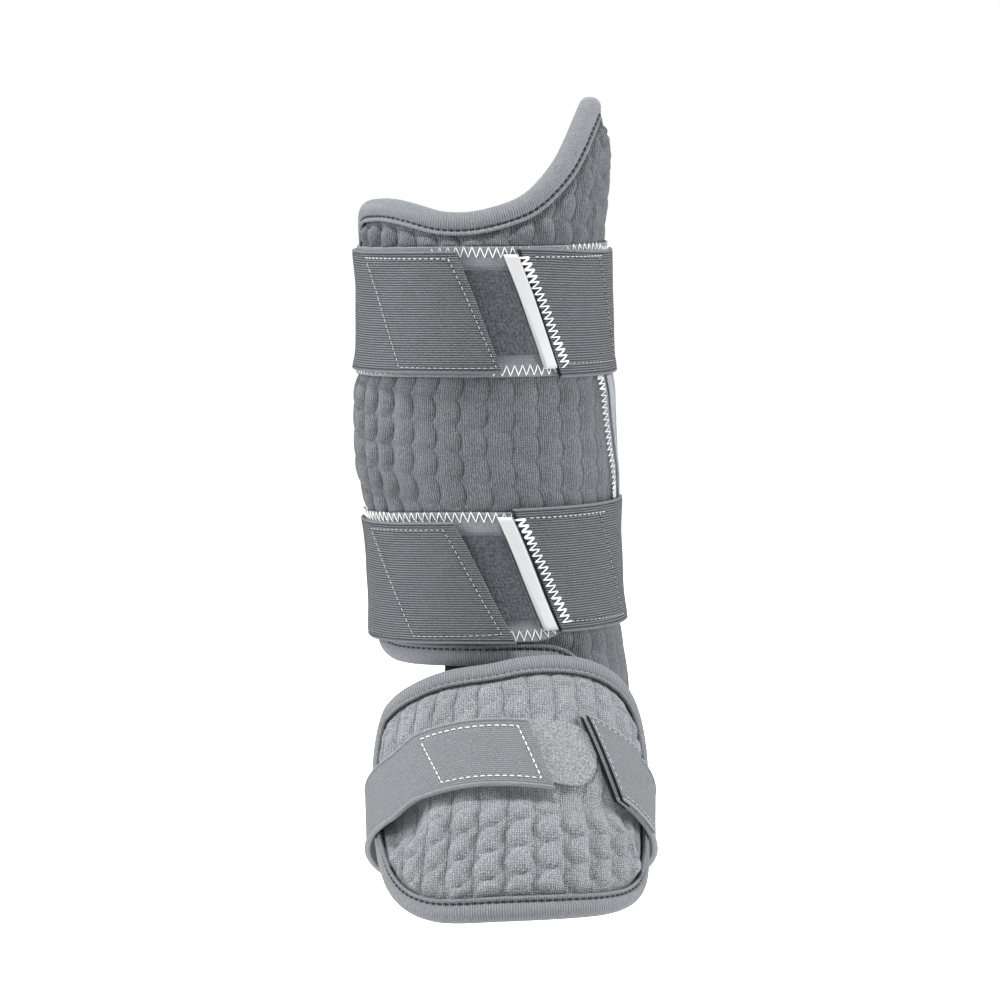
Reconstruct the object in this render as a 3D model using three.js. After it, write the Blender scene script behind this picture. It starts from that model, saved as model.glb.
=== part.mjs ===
// Batters leg guard, as it sits on a leg: millimetres, +Z up, the front faces -Y.
// The origin is on the leg's axis, between the two straps of the shin guard.
// A turn is an angle in degrees round the leg or foot: 0 in front, positive to +X.
import * as THREE from 'three';

// Clearances and walls
const gap = 0.4;
const padWall = 8;
const rimWall = 4.5;
const rimSink = 2;
const rimWidth = 7.5;
const rimRise = 7;
const tapeThickness = 1.4;
const tapeCover = 6;
const tapeRoll = 2.6;
const panelThickness = 1;
const patchThickness = 1;
const strapThickness = 1.8;
const tabThickness = 1.8;

// Shin guard
const shinHeight = 270;
const originLevel = 0.448;
const halfWidth = 54;
const frontDepth = 54;
const backDepth = 50;
const wingTuck = 2;

// Straps of the shin guard
const strapWidth = 51;
const upperStrapHeight = 60.6;
const lowerStrapHeight = -52.4;
const lowerStrapRise = 5;
const lowerPanelHeight = -50.3;
const panelOverlap = 1.7;
const patchWidth = 36;
const pullTabWidth = 6.6;
const pullTabLength = 48;
const tabSlant = 18.8;

// Foot guard
const footTopX = 11;
const footTopY = -71;
const footTopZ = -85;
const footLength = 118;
const footHalfWidth = 55.6;
const footDepth = 46;
const soleDepth = 44;
const footStrapWidth = 32;
const footStrapAlong = 45;
const footStandoff = 1;
const footPatchWidth = 30;

// Elastic between shin and foot guard
const connectorWidth = 38;
const connectorMiddle = 2;
const connectorThickness = 1.4;

// Sections of the leg, bottom to top: level is a share of shinHeight, depth of
// frontDepth, and shift and width are shares of halfWidth.
const shinSections = [
  { level: 0.0, shift: 0.16, width: 0.99, depth: 1.1 },
  { level: 0.074, shift: 0.143, width: 0.992, depth: 1.08 },
  { level: 0.152, shift: 0.11, width: 0.975, depth: 1.05 },
  { level: 0.23, shift: 0.082, width: 0.952, depth: 1.01 },
  { level: 0.309, shift: 0.06, width: 0.957, depth: 1.0 },
  { level: 0.374, shift: 0.028, width: 0.994, depth: 1.0 },
  { level: 0.43, shift: 0.0, width: 1.026, depth: 1.0 },
  { level: 0.53, shift: -0.014, width: 1.02, depth: 1.0 },
  { level: 0.6, shift: -0.001, width: 0.96, depth: 1.0 },
  { level: 0.69, shift: -0.005, width: 0.95, depth: 1.0 },
  { level: 0.79, shift: -0.026, width: 0.966, depth: 1.01 },
  { level: 0.87, shift: -0.014, width: 0.99, depth: 1.02 },
  { level: 1.0, shift: -0.02, width: 1.0, depth: 1.04 },
];

// Edge of the shin guard's padded wall, clockwise from the upper left.
const shinOutline = [
  { turn: -84, level: 0.813, corner: true },
  { turn: -75, level: 0.828 },
  { turn: -63, level: 0.833 },
  { turn: -50, level: 0.834 },
  { turn: -36, level: 0.828 },
  { turn: -20, level: 0.817 },
  { turn: -5, level: 0.817 },
  { turn: 10, level: 0.828 },
  { turn: 22, level: 0.844 },
  { turn: 32, level: 0.87 },
  { turn: 42, level: 0.902 },
  { turn: 51, level: 0.936 },
  { turn: 60, level: 0.967 },
  { turn: 70, level: 0.989 },
  { turn: 81, level: 0.986 },
  { turn: 92, level: 0.955, corner: true },
  { turn: 101, level: 0.89 },
  { turn: 106, level: 0.78 },
  { turn: 108, level: 0.6 },
  { turn: 108, level: 0.4 },
  { turn: 107, level: 0.22 },
  { turn: 103, level: 0.11 },
  { turn: 94, level: 0.045, corner: true },
  { turn: 80, level: 0.016 },
  { turn: 65, level: 0.018 },
  { turn: 52, level: 0.045 },
  { turn: 40, level: 0.088 },
  { turn: 29, level: 0.122 },
  { turn: 16, level: 0.131 },
  { turn: -5, level: 0.131 },
  { turn: -28, level: 0.129 },
  { turn: -50, level: 0.126 },
  { turn: -64, level: 0.128 },
  { turn: -76, level: 0.141 },
  { turn: -87, level: 0.176, corner: true },
  { turn: -96, level: 0.24 },
  { turn: -102, level: 0.34 },
  { turn: -104, level: 0.45 },
  { turn: -104, level: 0.56 },
  { turn: -101, level: 0.67 },
  { turn: -94, level: 0.765 },
];

// Sections across the foot, top to toe: along is a share of footLength, lean is
// the slope from vertical in degrees, the rest are shares of footHalfWidth or,
// for depth, of footDepth.
const footSections = [
  { along: -0.12, lean: 40, width: 0.985, depth: 0.72, shift: 0.0 },
  { along: 0.0, lean: 41, width: 1.01, depth: 0.78, shift: 0.0 },
  { along: 0.26, lean: 42, width: 1.045, depth: 0.9, shift: -0.005 },
  { along: 0.52, lean: 37, width: 1.035, depth: 1.0, shift: 0.0 },
  { along: 0.78, lean: 28, width: 1.035, depth: 1.0, shift: 0.006 },
  { along: 1.04, lean: 16, width: 1.03, depth: 0.92, shift: 0.006 },
];

// Edge of the foot guard's padded wall, clockwise from the upper left.
const footOutline = [
  { turn: -71, along: 0.068, corner: true },
  { turn: -60, along: 0.042 },
  { turn: -46, along: 0.026 },
  { turn: -30, along: 0.012 },
  { turn: -10, along: 0.004 },
  { turn: 6, along: -0.024 },
  { turn: 22, along: -0.042 },
  { turn: 36, along: -0.046 },
  { turn: 50, along: -0.03 },
  { turn: 62, along: 0.008 },
  { turn: 72, along: 0.076, corner: true },
  { turn: 79, along: 0.2 },
  { turn: 81, along: 0.38 },
  { turn: 81, along: 0.55 },
  { turn: 78, along: 0.7 },
  { turn: 71, along: 0.8, corner: true },
  { turn: 60, along: 0.875 },
  { turn: 44, along: 0.925 },
  { turn: 20, along: 0.955 },
  { turn: -8, along: 0.968 },
  { turn: -30, along: 0.966 },
  { turn: -45, along: 0.932 },
  { turn: -57, along: 0.866 },
  { turn: -67, along: 0.765, corner: true },
  { turn: -75, along: 0.63 },
  { turn: -80, along: 0.47 },
  { turn: -81, along: 0.3 },
  { turn: -78, along: 0.15 },
];

// Middle of the foot strap round the foot, as a share of footStrapAlong.
const footStrapRoute = [
  { turn: 25, place: 0.86 },
  { turn: 50, place: 0.99 },
  { turn: 66, place: 1.07 },
  { turn: 88, place: 1.13 },
  { turn: 180, place: 1.2 },
  { turn: 272, place: 1.13 },
  { turn: 304, place: 1.11 },
  { turn: 322, place: 1.0 },
  { turn: 345, place: 0.98 },
  { turn: 380, place: 1.01 },
];

// Seam that the side panel starts from, as a share of the height between bands.
const sideSeam = [
  { share: 0.0, turn: 86 },
  { share: 0.2, turn: 79 },
  { share: 0.35, turn: 73 },
  { share: 0.6, turn: 68.5 },
  { share: 1.0, turn: 65 },
];

const mix = (a, b, share) => a + (b - a) * share;

const radians = (degrees) => THREE.MathUtils.degToRad(degrees);

const smooth = (x) => THREE.MathUtils.smoothstep(x, 0, 1);

// Smooth curve through the rows of a table that never overshoots a row.
function readTable(rows, key, column, at) {
  const last = rows.length - 1;
  const x = THREE.MathUtils.clamp(at, rows[0][key], rows[last][key]);
  let row = 0;
  while (row < last - 1 && x >= rows[row + 1][key]) row += 1;
  const rise = (i) => (rows[i + 1][column] - rows[i][column]) / (rows[i + 1][key] - rows[i][key]);
  const slope = (i) => {
    if (i === 0) return rise(0);
    if (i === last) return rise(last - 1);
    const before = rise(i - 1);
    const after = rise(i);
    return before * after <= 0 ? 0 : (2 * before * after) / (before + after);
  };
  const width = rows[row + 1][key] - rows[row][key];
  const t = (x - rows[row][key]) / width;
  const cubes = [2 * t ** 3 - 3 * t ** 2 + 1, t ** 3 - 2 * t ** 2 + t];
  const others = [3 * t ** 2 - 2 * t ** 3, t ** 3 - t ** 2];
  return cubes[0] * rows[row][column] + cubes[1] * width * slope(row)
    + others[0] * rows[row + 1][column] + others[1] * width * slope(row + 1);
}

// Surface of the leg that the shin guard wraps, lifted outwards.
function legPoint(turn, height, lift) {
  const level = height / shinHeight + originLevel;
  const angle = radians(turn);
  const shift = readTable(shinSections, 'level', 'shift', level) * halfWidth;
  const across = readTable(shinSections, 'level', 'width', level) * halfWidth;
  const front = readTable(shinSections, 'level', 'depth', level) * frontDepth;
  const deep = Math.cos(angle) >= 0 ? front : backDepth;
  const inward = wingTuck * smooth((level - 0.85) / 0.17) * Math.max(0, Math.sin(angle)) ** 2;
  return new THREE.Vector3(
    shift + (across + lift) * Math.sin(angle) - inward,
    -(deep + lift) * Math.cos(angle),
    height,
  );
}

// The line down the middle of the foot, in small steps from its lean.
const footLine = (() => {
  const steps = 280;
  const from = -0.3;
  const to = 1.3;
  const stride = ((to - from) / steps) * footLength;
  const points = [];
  let y = 0;
  let z = 0;
  for (let i = 0; i <= steps; i += 1) {
    const along = mix(from, to, i / steps);
    const lean = radians(readTable(footSections, 'along', 'lean', along));
    points.push({ along, y, z, lean });
    y -= Math.sin(lean) * stride;
    z -= Math.cos(lean) * stride;
  }
  const start = points.find((point) => point.along >= 0);
  return points.map((point) => ({ ...point, y: point.y - start.y, z: point.z - start.z }));
})();

function footLineAt(along) {
  const first = footLine[0].along;
  const step = footLine[1].along - first;
  const place = THREE.MathUtils.clamp((along - first) / step, 0, footLine.length - 1.001);
  const low = footLine[Math.floor(place)];
  const high = footLine[Math.floor(place) + 1];
  const share = place - Math.floor(place);
  return {
    y: mix(low.y, high.y, share),
    z: mix(low.z, high.z, share),
    lean: mix(low.lean, high.lean, share),
  };
}

// Surface of the foot that the foot guard arches over, lifted outwards. Its
// sections stand square to the middle line.
function footPoint(turn, distance, lift) {
  const along = distance / footLength;
  const angle = radians(turn);
  const line = footLineAt(along);
  const shift = readTable(footSections, 'along', 'shift', along) * footHalfWidth;
  const across = readTable(footSections, 'along', 'width', along) * footHalfWidth;
  const front = readTable(footSections, 'along', 'depth', along) * footDepth;
  const deep = Math.cos(angle) >= 0 ? front : soleDepth;
  const back = front - (deep + lift) * Math.cos(angle);
  return new THREE.Vector3(
    footTopX + shift + (across + lift) * Math.sin(angle),
    footTopY + line.y + back * Math.cos(line.lean),
    footTopZ + line.z - back * Math.sin(line.lean),
  );
}

// The shin and foot surfaces by their flat pattern: x is mm round, y is mm along.
const shinScale = halfWidth * radians(1);
const footScale = footHalfWidth * radians(1);
const shinSurface = (flat, lift) => legPoint(flat.x / shinScale, flat.y, lift);
const footSurface = (flat, lift) => footPoint(flat.x / footScale, flat.y, lift);

// Flat pattern of an edge: a closed smooth curve through its rows. It starts at
// the first row marked as a corner, and its four sides between corners hold
// columns, rows, columns and rows of evenly spaced points.
function edgePattern(table, toFlat, columns, rows) {
  const corners = table.map((row) => {
    const flat = toFlat(row);
    return new THREE.Vector3(flat.x, flat.y, 0);
  });
  const curve = new THREE.CatmullRomCurve3(corners, true, 'catmullrom', 0.5);
  const fineness = 24;
  const fine = curve.getPoints(table.length * fineness).slice(0, -1);
  const marks = table.flatMap((row, i) => (row.corner ? [i * fineness] : []));
  const points = [];
  marks.forEach((from, side) => {
    const to = marks[(side + 1) % marks.length];
    const length = (to - from + fine.length) % fine.length;
    const run = Array.from({ length: length + 1 }, (_, i) => fine[(from + i) % fine.length]);
    const travelled = [0];
    for (let i = 1; i < run.length; i += 1) travelled.push(travelled[i - 1] + run[i].distanceTo(run[i - 1]));
    const count = side % 2 === 0 ? columns : rows;
    for (let i = 0; i < count; i += 1) {
      const goal = (travelled[length] * i) / count;
      const next = Math.max(1, travelled.findIndex((distance) => distance > goal));
      const share = (goal - travelled[next - 1]) / (travelled[next] - travelled[next - 1]);
      points.push(new THREE.Vector3().lerpVectors(run[next - 1], run[next], share));
    }
  });
  return points;
}

// Moves a closed pattern inwards by one distance.
function inset(pattern, distance) {
  const count = pattern.length;
  let area = 0;
  pattern.forEach((p, i) => {
    const q = pattern[(i + 1) % count];
    area += p.x * q.y - q.x * p.y;
  });
  const move = distance * Math.sign(area);
  return pattern.map((point, i) => {
    const along = new THREE.Vector3().subVectors(pattern[(i + 1) % count], pattern[(i + count - 1) % count]);
    along.normalize();
    return new THREE.Vector3(point.x - along.y * move, point.y + along.x * move, 0);
  });
}

// Closed body from points and triangles, turned so that its faces point out.
function closedBody(points, triangles) {
  let volume = 0;
  for (const [a, b, c] of triangles) {
    volume += points[a].dot(new THREE.Vector3().crossVectors(points[b], points[c]));
  }
  const facing = volume < 0 ? triangles.map(([a, b, c]) => [a, c, b]) : triangles;
  const geometry = new THREE.BufferGeometry();
  geometry.setAttribute('position', new THREE.Float32BufferAttribute(points.flatMap((p) => p.toArray()), 3));
  geometry.setIndex(facing.flat());
  geometry.computeVertexNormals();
  return geometry;
}

// Two triangles for the quad a b c d.
const quad = (a, b, c, d) => [[a, b, c], [a, c, d]];

// A sheet with thickness: outer and inner grids of points, joined round the edge.
function slab(columns, rows, outer, inner) {
  const points = [];
  for (const side of [outer, inner]) {
    for (const u of columns) {
      for (const v of rows) points.push(side(u, v));
    }
  }
  const wide = columns.length;
  const tall = rows.length;
  const at = (side, i, j) => side * wide * tall + i * tall + j;
  const triangles = [];
  for (let i = 0; i < wide - 1; i += 1) {
    for (let j = 0; j < tall - 1; j += 1) {
      triangles.push(...quad(at(0, i, j), at(0, i + 1, j), at(0, i + 1, j + 1), at(0, i, j + 1)));
      triangles.push(...quad(at(1, i, j), at(1, i, j + 1), at(1, i + 1, j + 1), at(1, i + 1, j)));
    }
    triangles.push(...quad(at(0, i, 0), at(1, i, 0), at(1, i + 1, 0), at(0, i + 1, 0)));
    const top = tall - 1;
    triangles.push(...quad(at(0, i, top), at(0, i + 1, top), at(1, i + 1, top), at(1, i, top)));
  }
  for (let j = 0; j < tall - 1; j += 1) {
    const end = wide - 1;
    triangles.push(...quad(at(0, 0, j), at(0, 0, j + 1), at(1, 0, j + 1), at(1, 0, j)));
    triangles.push(...quad(at(0, end, j), at(1, end, j), at(1, end, j + 1), at(0, end, j + 1)));
  }
  return closedBody(points, triangles);
}

// count + 1 even steps from one value to another.
const steps = (from, to, count) => Array.from({ length: count + 1 }, (_, i) => mix(from, to, i / count));

// Points inside a four-sided pattern: each lies where its column and its row
// would, less where the corners alone would put it.
function crossGrid(pattern, columns, rows) {
  const top = (i) => pattern[i];
  const right = (j) => pattern[columns + j];
  const bottom = (i) => pattern[2 * columns + rows - i];
  const left = (j) => pattern[(2 * columns + 2 * rows - j) % pattern.length];
  const grid = [];
  for (let i = 0; i <= columns; i += 1) {
    for (let j = 0; j <= rows; j += 1) {
      const u = i / columns;
      const v = j / rows;
      const point = new THREE.Vector3().lerpVectors(top(i), bottom(i), v);
      point.add(new THREE.Vector3().lerpVectors(left(j), right(j), u));
      const high = new THREE.Vector3().lerpVectors(top(0), top(columns), u);
      const low = new THREE.Vector3().lerpVectors(bottom(0), bottom(columns), u);
      grid.push(point.sub(high.lerp(low, v)));
    }
  }
  return grid;
}

// A padded wall inside an edge pattern: thin at the rim, where the binding grips
// it, and full further in. Rings follow the edge, then a grid fills the middle.
function paddedWall(pattern, surface, columns, rows) {
  const rings = [
    { pattern, fullness: 0 },
    { pattern: inset(pattern, rimWidth), fullness: 0 },
    { pattern: inset(pattern, rimWidth + rimRise / 2), fullness: 0.6 },
    { pattern: inset(pattern, rimWidth + rimRise), fullness: 1 },
  ];
  const count = pattern.length;
  const last = rings.length - 1;
  const grid = crossGrid(rings[last].pattern, columns, rows);
  const points = [];
  const triangles = [];
  const perSide = last * count + grid.length;
  for (let side = 0; side < 2; side += 1) {
    const liftAt = (fullness) => {
      const outside = -rimSink * (1 - fullness);
      return side === 0 ? outside : mix(outside - rimWall, -padWall, fullness);
    };
    for (const ring of rings.slice(0, last)) {
      for (const flat of ring.pattern) points.push(surface(flat, liftAt(ring.fullness)));
    }
    for (const flat of grid) points.push(surface(flat, liftAt(1)));
    const base = side * perSide;
    const onGrid = (i, j) => base + last * count + i * (rows + 1) + j;
    const onRing = (ring, place) => {
      const i = place % count;
      if (ring < last) return base + ring * count + i;
      if (i < columns) return onGrid(i, 0);
      if (i < columns + rows) return onGrid(columns, i - columns);
      if (i < 2 * columns + rows) return onGrid(2 * columns + rows - i, rows);
      return onGrid(0, count - i);
    };
    const add = (faces) => triangles.push(...(side === 0 ? faces : faces.map(([a, b, c]) => [a, c, b])));
    for (let ring = 0; ring < last; ring += 1) {
      for (let i = 0; i < count; i += 1) {
        add(quad(onRing(ring, i), onRing(ring + 1, i), onRing(ring + 1, i + 1), onRing(ring, i + 1)));
      }
    }
    for (let i = 0; i < columns; i += 1) {
      for (let j = 0; j < rows; j += 1) {
        add(quad(onGrid(i, j), onGrid(i, j + 1), onGrid(i + 1, j + 1), onGrid(i + 1, j)));
      }
    }
  }
  for (let i = 0; i < count; i += 1) {
    const next = (i + 1) % count;
    triangles.push(...quad(i, next, perSide + next, perSide + i));
  }
  return closedBody(points, triangles);
}

// Edge binding: a folded tape that grips the rim of a padded wall, all round.
function edgeBinding(pattern, surface) {
  const half = rimWall / 2 + gap * 1.5;
  const outside = half + tapeThickness;
  const midLift = -rimSink - rimWall / 2;
  const section = [
    { out: -tapeCover, side: half },
    { out: gap, side: half },
    { out: gap, side: -half },
    { out: -tapeCover, side: -half },
    { out: -tapeCover, side: -outside },
    { out: 0, side: -outside },
    { out: tapeRoll * 0.7, side: -outside * 0.72 },
    { out: tapeRoll, side: 0 },
    { out: tapeRoll * 0.7, side: outside * 0.72 },
    { out: 0, side: outside },
    { out: -tapeCover, side: outside },
  ];
  const count = pattern.length;
  const covered = inset(pattern, tapeCover);
  const middles = pattern.map((flat) => surface(flat, midLift));
  const points = [];
  pattern.forEach((flat, i) => {
    const normal = surface(flat, midLift + 1).sub(middles[i]).normalize();
    const run = new THREE.Vector3().subVectors(middles[(i + 1) % count], middles[(i + count - 1) % count]);
    const outward = new THREE.Vector3().crossVectors(run, normal).normalize();
    if (outward.dot(new THREE.Vector3().subVectors(middles[i], surface(covered[i], midLift))) < 0) outward.negate();
    for (const { out, side } of section) {
      if (out < 0) {
        points.push(surface(covered[i], midLift + side));
      } else {
        points.push(middles[i].clone().addScaledVector(normal, side).addScaledVector(outward, out));
      }
    }
  });
  const size = section.length;
  const triangles = [];
  for (let i = 0; i < count; i += 1) {
    const next = (i + 1) % count;
    for (let j = 0; j < size; j += 1) {
      const following = (j + 1) % size;
      triangles.push(...quad(i * size + j, next * size + j, next * size + following, i * size + following));
    }
  }
  return closedBody(points, triangles);
}

const colours = {
  quilt: '#83878b',
  binding: '#85898d',
  band: '#6c7074',
  loop: '#5f6367',
  elastic: '#74787b',
  white: '#e8e8e8',
  black: '#1b1b1d',
  footQuilt: '#999da0',
  footBinding: '#8b8f92',
  footLoop: '#b0b4b7',
  twill: '#979b9e',
};

function fabric(colour) {
  return new THREE.MeshStandardMaterial({ color: colour, roughness: 0.85, metalness: 0 });
}

const guard = new THREE.Group();
guard.name = 'batters_leg_guard';

function addPiece(name, geometry, colour) {
  const piece = new THREE.Mesh(geometry, fabric(colour));
  piece.name = name;
  guard.add(piece);
  return piece;
}

// Shin guard's padded wall and its edge binding
const heightOf = (level) => (level - originLevel) * shinHeight;
const shinToFlat = (row) => ({ x: row.turn * shinScale, y: heightOf(row.level) });
const shinPattern = edgePattern(shinOutline, shinToFlat, 28, 12);
addPiece('shin_shell', paddedWall(shinPattern, shinSurface, 28, 12), colours.quilt);
addPiece('shin_binding', edgeBinding(shinPattern, shinSurface), colours.binding);

// Bands under the straps, the loop patches on them, and the lifts they give
const panelBase = gap * 1.5;
const panelTop = panelBase + panelThickness;
const patchBase = panelTop + gap;
const patchTop = patchBase + patchThickness;
const strapBase = panelTop + gap;
const tabBase = patchTop + gap;
const panelFrom = -90;
const panelTo = 99;

function legSlab(turnAt, heightAt, turnSteps, heightSteps, base, top) {
  const place = (lift) => (u, v) => {
    const height = heightAt(u, v);
    return legPoint(turnAt(u, v), height, lift);
  };
  return slab(steps(0, 1, turnSteps), steps(0, 1, heightSteps), place(top), place(base));
}

const bands = [
  {
    name: 'upper', middle: upperStrapHeight, start: upperStrapHeight, end: upperStrapHeight,
    tabTurn: -1.7, tabSlant: tabSlant, pullTurn: 18.2,
  },
  {
    name: 'lower', middle: lowerPanelHeight, start: lowerStrapHeight + lowerStrapRise, end: lowerStrapHeight,
    tabTurn: -4, tabSlant: tabSlant * 1.25, pullTurn: 12,
  },
];

// A slanted edge across a band: its turn at a share of the strap's width.
const slanted = (turn, slant, share) => turn + slant * (0.5 - share);
const degreesOf = (length) => length / shinScale;

for (const band of bands) {
  const bandHalf = strapWidth / 2 + panelOverlap;
  const panelHeight = (u, v) => mix(band.middle - bandHalf, band.middle + bandHalf, v);
  const panelTurn = (u) => mix(panelFrom, panelTo, u);
  const panel = legSlab(panelTurn, panelHeight, 24, 4, panelBase, panelTop);
  addPiece(`${band.name}_panel`, panel, colours.band);

  // The loop patch lies between the tab and the pull tab, and runs in under the tab
  const patchRise = (v) => 0.5 + ((v - 0.5) * patchWidth) / strapWidth;
  const patchTurn = (u, v) => {
    const right = slanted(band.pullTurn, tabSlant, patchRise(v)) - degreesOf(gap);
    return mix(-34, right, u);
  };
  const patchHeight = (u, v) => band.middle + (v - 0.5) * patchWidth;
  const patch = legSlab(patchTurn, patchHeight, 9, 2, patchBase, patchTop);
  addPiece(`${band.name}_loop_patch`, patch, colours.loop);

  // White strip on the sewn edge of the strap
  const pullShare = (v) => 0.5 + ((v - 0.5) * pullTabLength) / strapWidth;
  const pullTurn = (u, v) => slanted(band.pullTurn, tabSlant, pullShare(v)) + degreesOf(pullTabWidth) * u;
  const pullHeight = (u, v) => mix(band.middle, band.start, 0.5) + (v - 0.5) * pullTabLength;
  const pullTab = legSlab(pullTurn, pullHeight, 2, 4, strapBase, strapBase + tabThickness);
  addPiece(`${band.name}_pull_tab`, pullTab, colours.white);

  // The strap, from its sewn edge round the back to the slanted tab in front
  const sewnTurn = band.pullTurn + degreesOf(pullTabWidth + gap);
  const strapTurn = (u, v) => {
    const from = slanted(sewnTurn, tabSlant, v);
    const to = 360 + slanted(band.tabTurn, band.tabSlant, v);
    return mix(from, to, u);
  };
  const strapHeight = (u, v) => {
    const middle = mix(band.start, band.end, smooth((strapTurn(u, v) - 100) / 160));
    return middle + (v - 0.5) * strapWidth;
  };
  const strapPlace = (extra) => (u, v) => {
    const turn = strapTurn(u, v);
    const lift = mix(strapBase, tabBase, smooth((turn - 300) / 24)) + extra;
    return legPoint(turn, strapHeight(u, v), lift);
  };
  const strap = slab(steps(0, 1, 48), steps(0, 1, 3), strapPlace(strapThickness), strapPlace(0));
  addPiece(`${band.name}_strap`, strap, colours.elastic);
}

// Folded strip beyond the side seam, between the two bands
const sideBottom = lowerPanelHeight + strapWidth / 2 + panelOverlap + gap;
const sideTop = upperStrapHeight - strapWidth / 2 - panelOverlap - gap;
const sideTurn = (u, v) => mix(readTable(sideSeam, 'share', 'turn', v), panelTo + 1, u);
const sideHeight = (u, v) => mix(sideBottom, sideTop, v);
addPiece('side_panel', legSlab(sideTurn, sideHeight, 5, 6, panelBase, panelTop), colours.band);

// Foot guard's padded wall and its edge binding
const footToFlat = (row) => ({ x: row.turn * footScale, y: row.along * footLength });
const footPattern = edgePattern(footOutline, footToFlat, 20, 10);
addPiece('foot_guard', paddedWall(footPattern, footSurface, 20, 10), colours.footQuilt);
addPiece('foot_binding', edgeBinding(footPattern, footSurface), colours.footBinding);

// Loop patch on the foot guard, with a round end
const footPatchFrom = -16;
const footPatchTo = 37;
const footPatchRound = 13;
const footPatchHalf = (turn) => {
  const past = Math.max(0, (turn - (footPatchTo - footPatchRound)) / footPatchRound);
  return (footPatchWidth / 2) * Math.sqrt(Math.max(0.05, 1 - past * past));
};
const footPatchPlace = (lift) => (u, v) => {
  const turn = mix(footPatchFrom, footPatchTo, u);
  return footPoint(turn, footStrapAlong * 0.94 + (v - 0.5) * 2 * footPatchHalf(turn), lift);
};
const footPatchColumns = [0, 0.2, 0.4, 0.6, 0.755, 0.82, 0.88, 0.93, 0.97, 1];
const footPatch = slab(footPatchColumns, steps(0, 1, 3), footPatchPlace(gap + patchThickness), footPatchPlace(gap));
addPiece('foot_loop_patch', footPatch, colours.footLoop);

// Strap over and under the foot, from the right tab round the sole to the left tab
const footTabBase = gap + patchThickness + gap;
const rightTabTurn = 38;
const rightTabSlant = 17;
const leftTabTurn = 12;
const leftTabSlant = 11;
const foldLength = 26;
const footStrapPlace = (isOuter) => (u, v) => {
  const from = rightTabTurn + rightTabSlant * (v - 0.5);
  const to = 360 + leftTabTurn + leftTabSlant * (v - 0.5);
  const turn = mix(from, to, u);
  const off = Math.min(smooth((turn - from) / 34), smooth((to - turn - 22) / 40));
  const fold = (turn - from) * footScale < foldLength ? 2 : 1;
  const lift = mix(footTabBase, footStandoff, off) + (isOuter ? strapThickness * fold : 0);
  const middle = readTable(footStrapRoute, 'turn', 'place', turn) * footStrapAlong;
  return footPoint(turn, middle + (v - 0.5) * footStrapWidth, lift);
};
const footStrap = slab(steps(0, 1, 56), steps(0, 1, 3), footStrapPlace(true), footStrapPlace(false));
addPiece('foot_strap', footStrap, colours.twill);

// Black elastic from inside the shin guard's lower edge to inside the foot guard
const connectorBase = -padWall - 2 * gap;
const acrossLeg = (height, x, lift) => {
  const level = height / shinHeight + originLevel;
  const shift = readTable(shinSections, 'level', 'shift', level) * halfWidth;
  const across = readTable(shinSections, 'level', 'width', level) * halfWidth;
  return THREE.MathUtils.radToDeg(Math.asin((x - shift) / (across + lift)));
};
const acrossFoot = (x, lift) => THREE.MathUtils.radToDeg(Math.asin((x - footTopX) / (footHalfWidth + lift)));
const connectorPath = (x, lift) => new THREE.CatmullRomCurve3([
  legPoint(acrossLeg(-58, x, lift), -58, lift),
  legPoint(acrossLeg(-72, x, lift), -72, lift),
  legPoint(acrossLeg(-84, x, lift), -84, lift),
  legPoint(acrossLeg(-93, x, lift), -93, lift),
  footPoint(acrossFoot(x, lift), 18, lift),
  footPoint(acrossFoot(x, lift), 30, lift),
]);
const connectorPlace = (lift) => (u, v) => {
  const x = connectorMiddle + (u - 0.5) * connectorWidth;
  return connectorPath(x, lift).getPoint(v);
};
const connectorColumns = steps(0, 1, 5);
const connectorRows = steps(0, 1, 12);
const connector = slab(
  connectorColumns,
  connectorRows,
  connectorPlace(connectorBase),
  connectorPlace(connectorBase - connectorThickness),
);
addPiece('connector_strap', connector, colours.black);

export default guard;
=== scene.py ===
# Looks of the batters leg guard: quilted knit over foam, ribbed edge tape, woven
# elastic, webbing and thread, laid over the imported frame. Lengths are millimetres
# here and become metres when a mesh is made. A turn is in degrees round the leg or
# foot, 0 in front and positive to +X. A flat place is (mm round, mm along).
import math

import bpy
import numpy as np
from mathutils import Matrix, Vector


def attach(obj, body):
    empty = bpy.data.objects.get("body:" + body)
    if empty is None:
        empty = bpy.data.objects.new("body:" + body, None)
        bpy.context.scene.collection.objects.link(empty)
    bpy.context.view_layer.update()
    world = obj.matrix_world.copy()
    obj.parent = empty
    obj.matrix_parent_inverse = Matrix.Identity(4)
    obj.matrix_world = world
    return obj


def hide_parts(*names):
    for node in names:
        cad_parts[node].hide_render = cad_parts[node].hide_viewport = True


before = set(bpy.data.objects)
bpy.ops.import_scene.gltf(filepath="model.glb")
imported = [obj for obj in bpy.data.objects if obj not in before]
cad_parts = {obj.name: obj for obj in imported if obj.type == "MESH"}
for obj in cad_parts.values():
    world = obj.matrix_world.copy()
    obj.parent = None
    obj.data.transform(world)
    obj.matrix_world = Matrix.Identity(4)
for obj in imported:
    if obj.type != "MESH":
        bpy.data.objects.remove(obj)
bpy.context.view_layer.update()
print("frame loaded")

# Forms that every piece follows, as in the part's source

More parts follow.
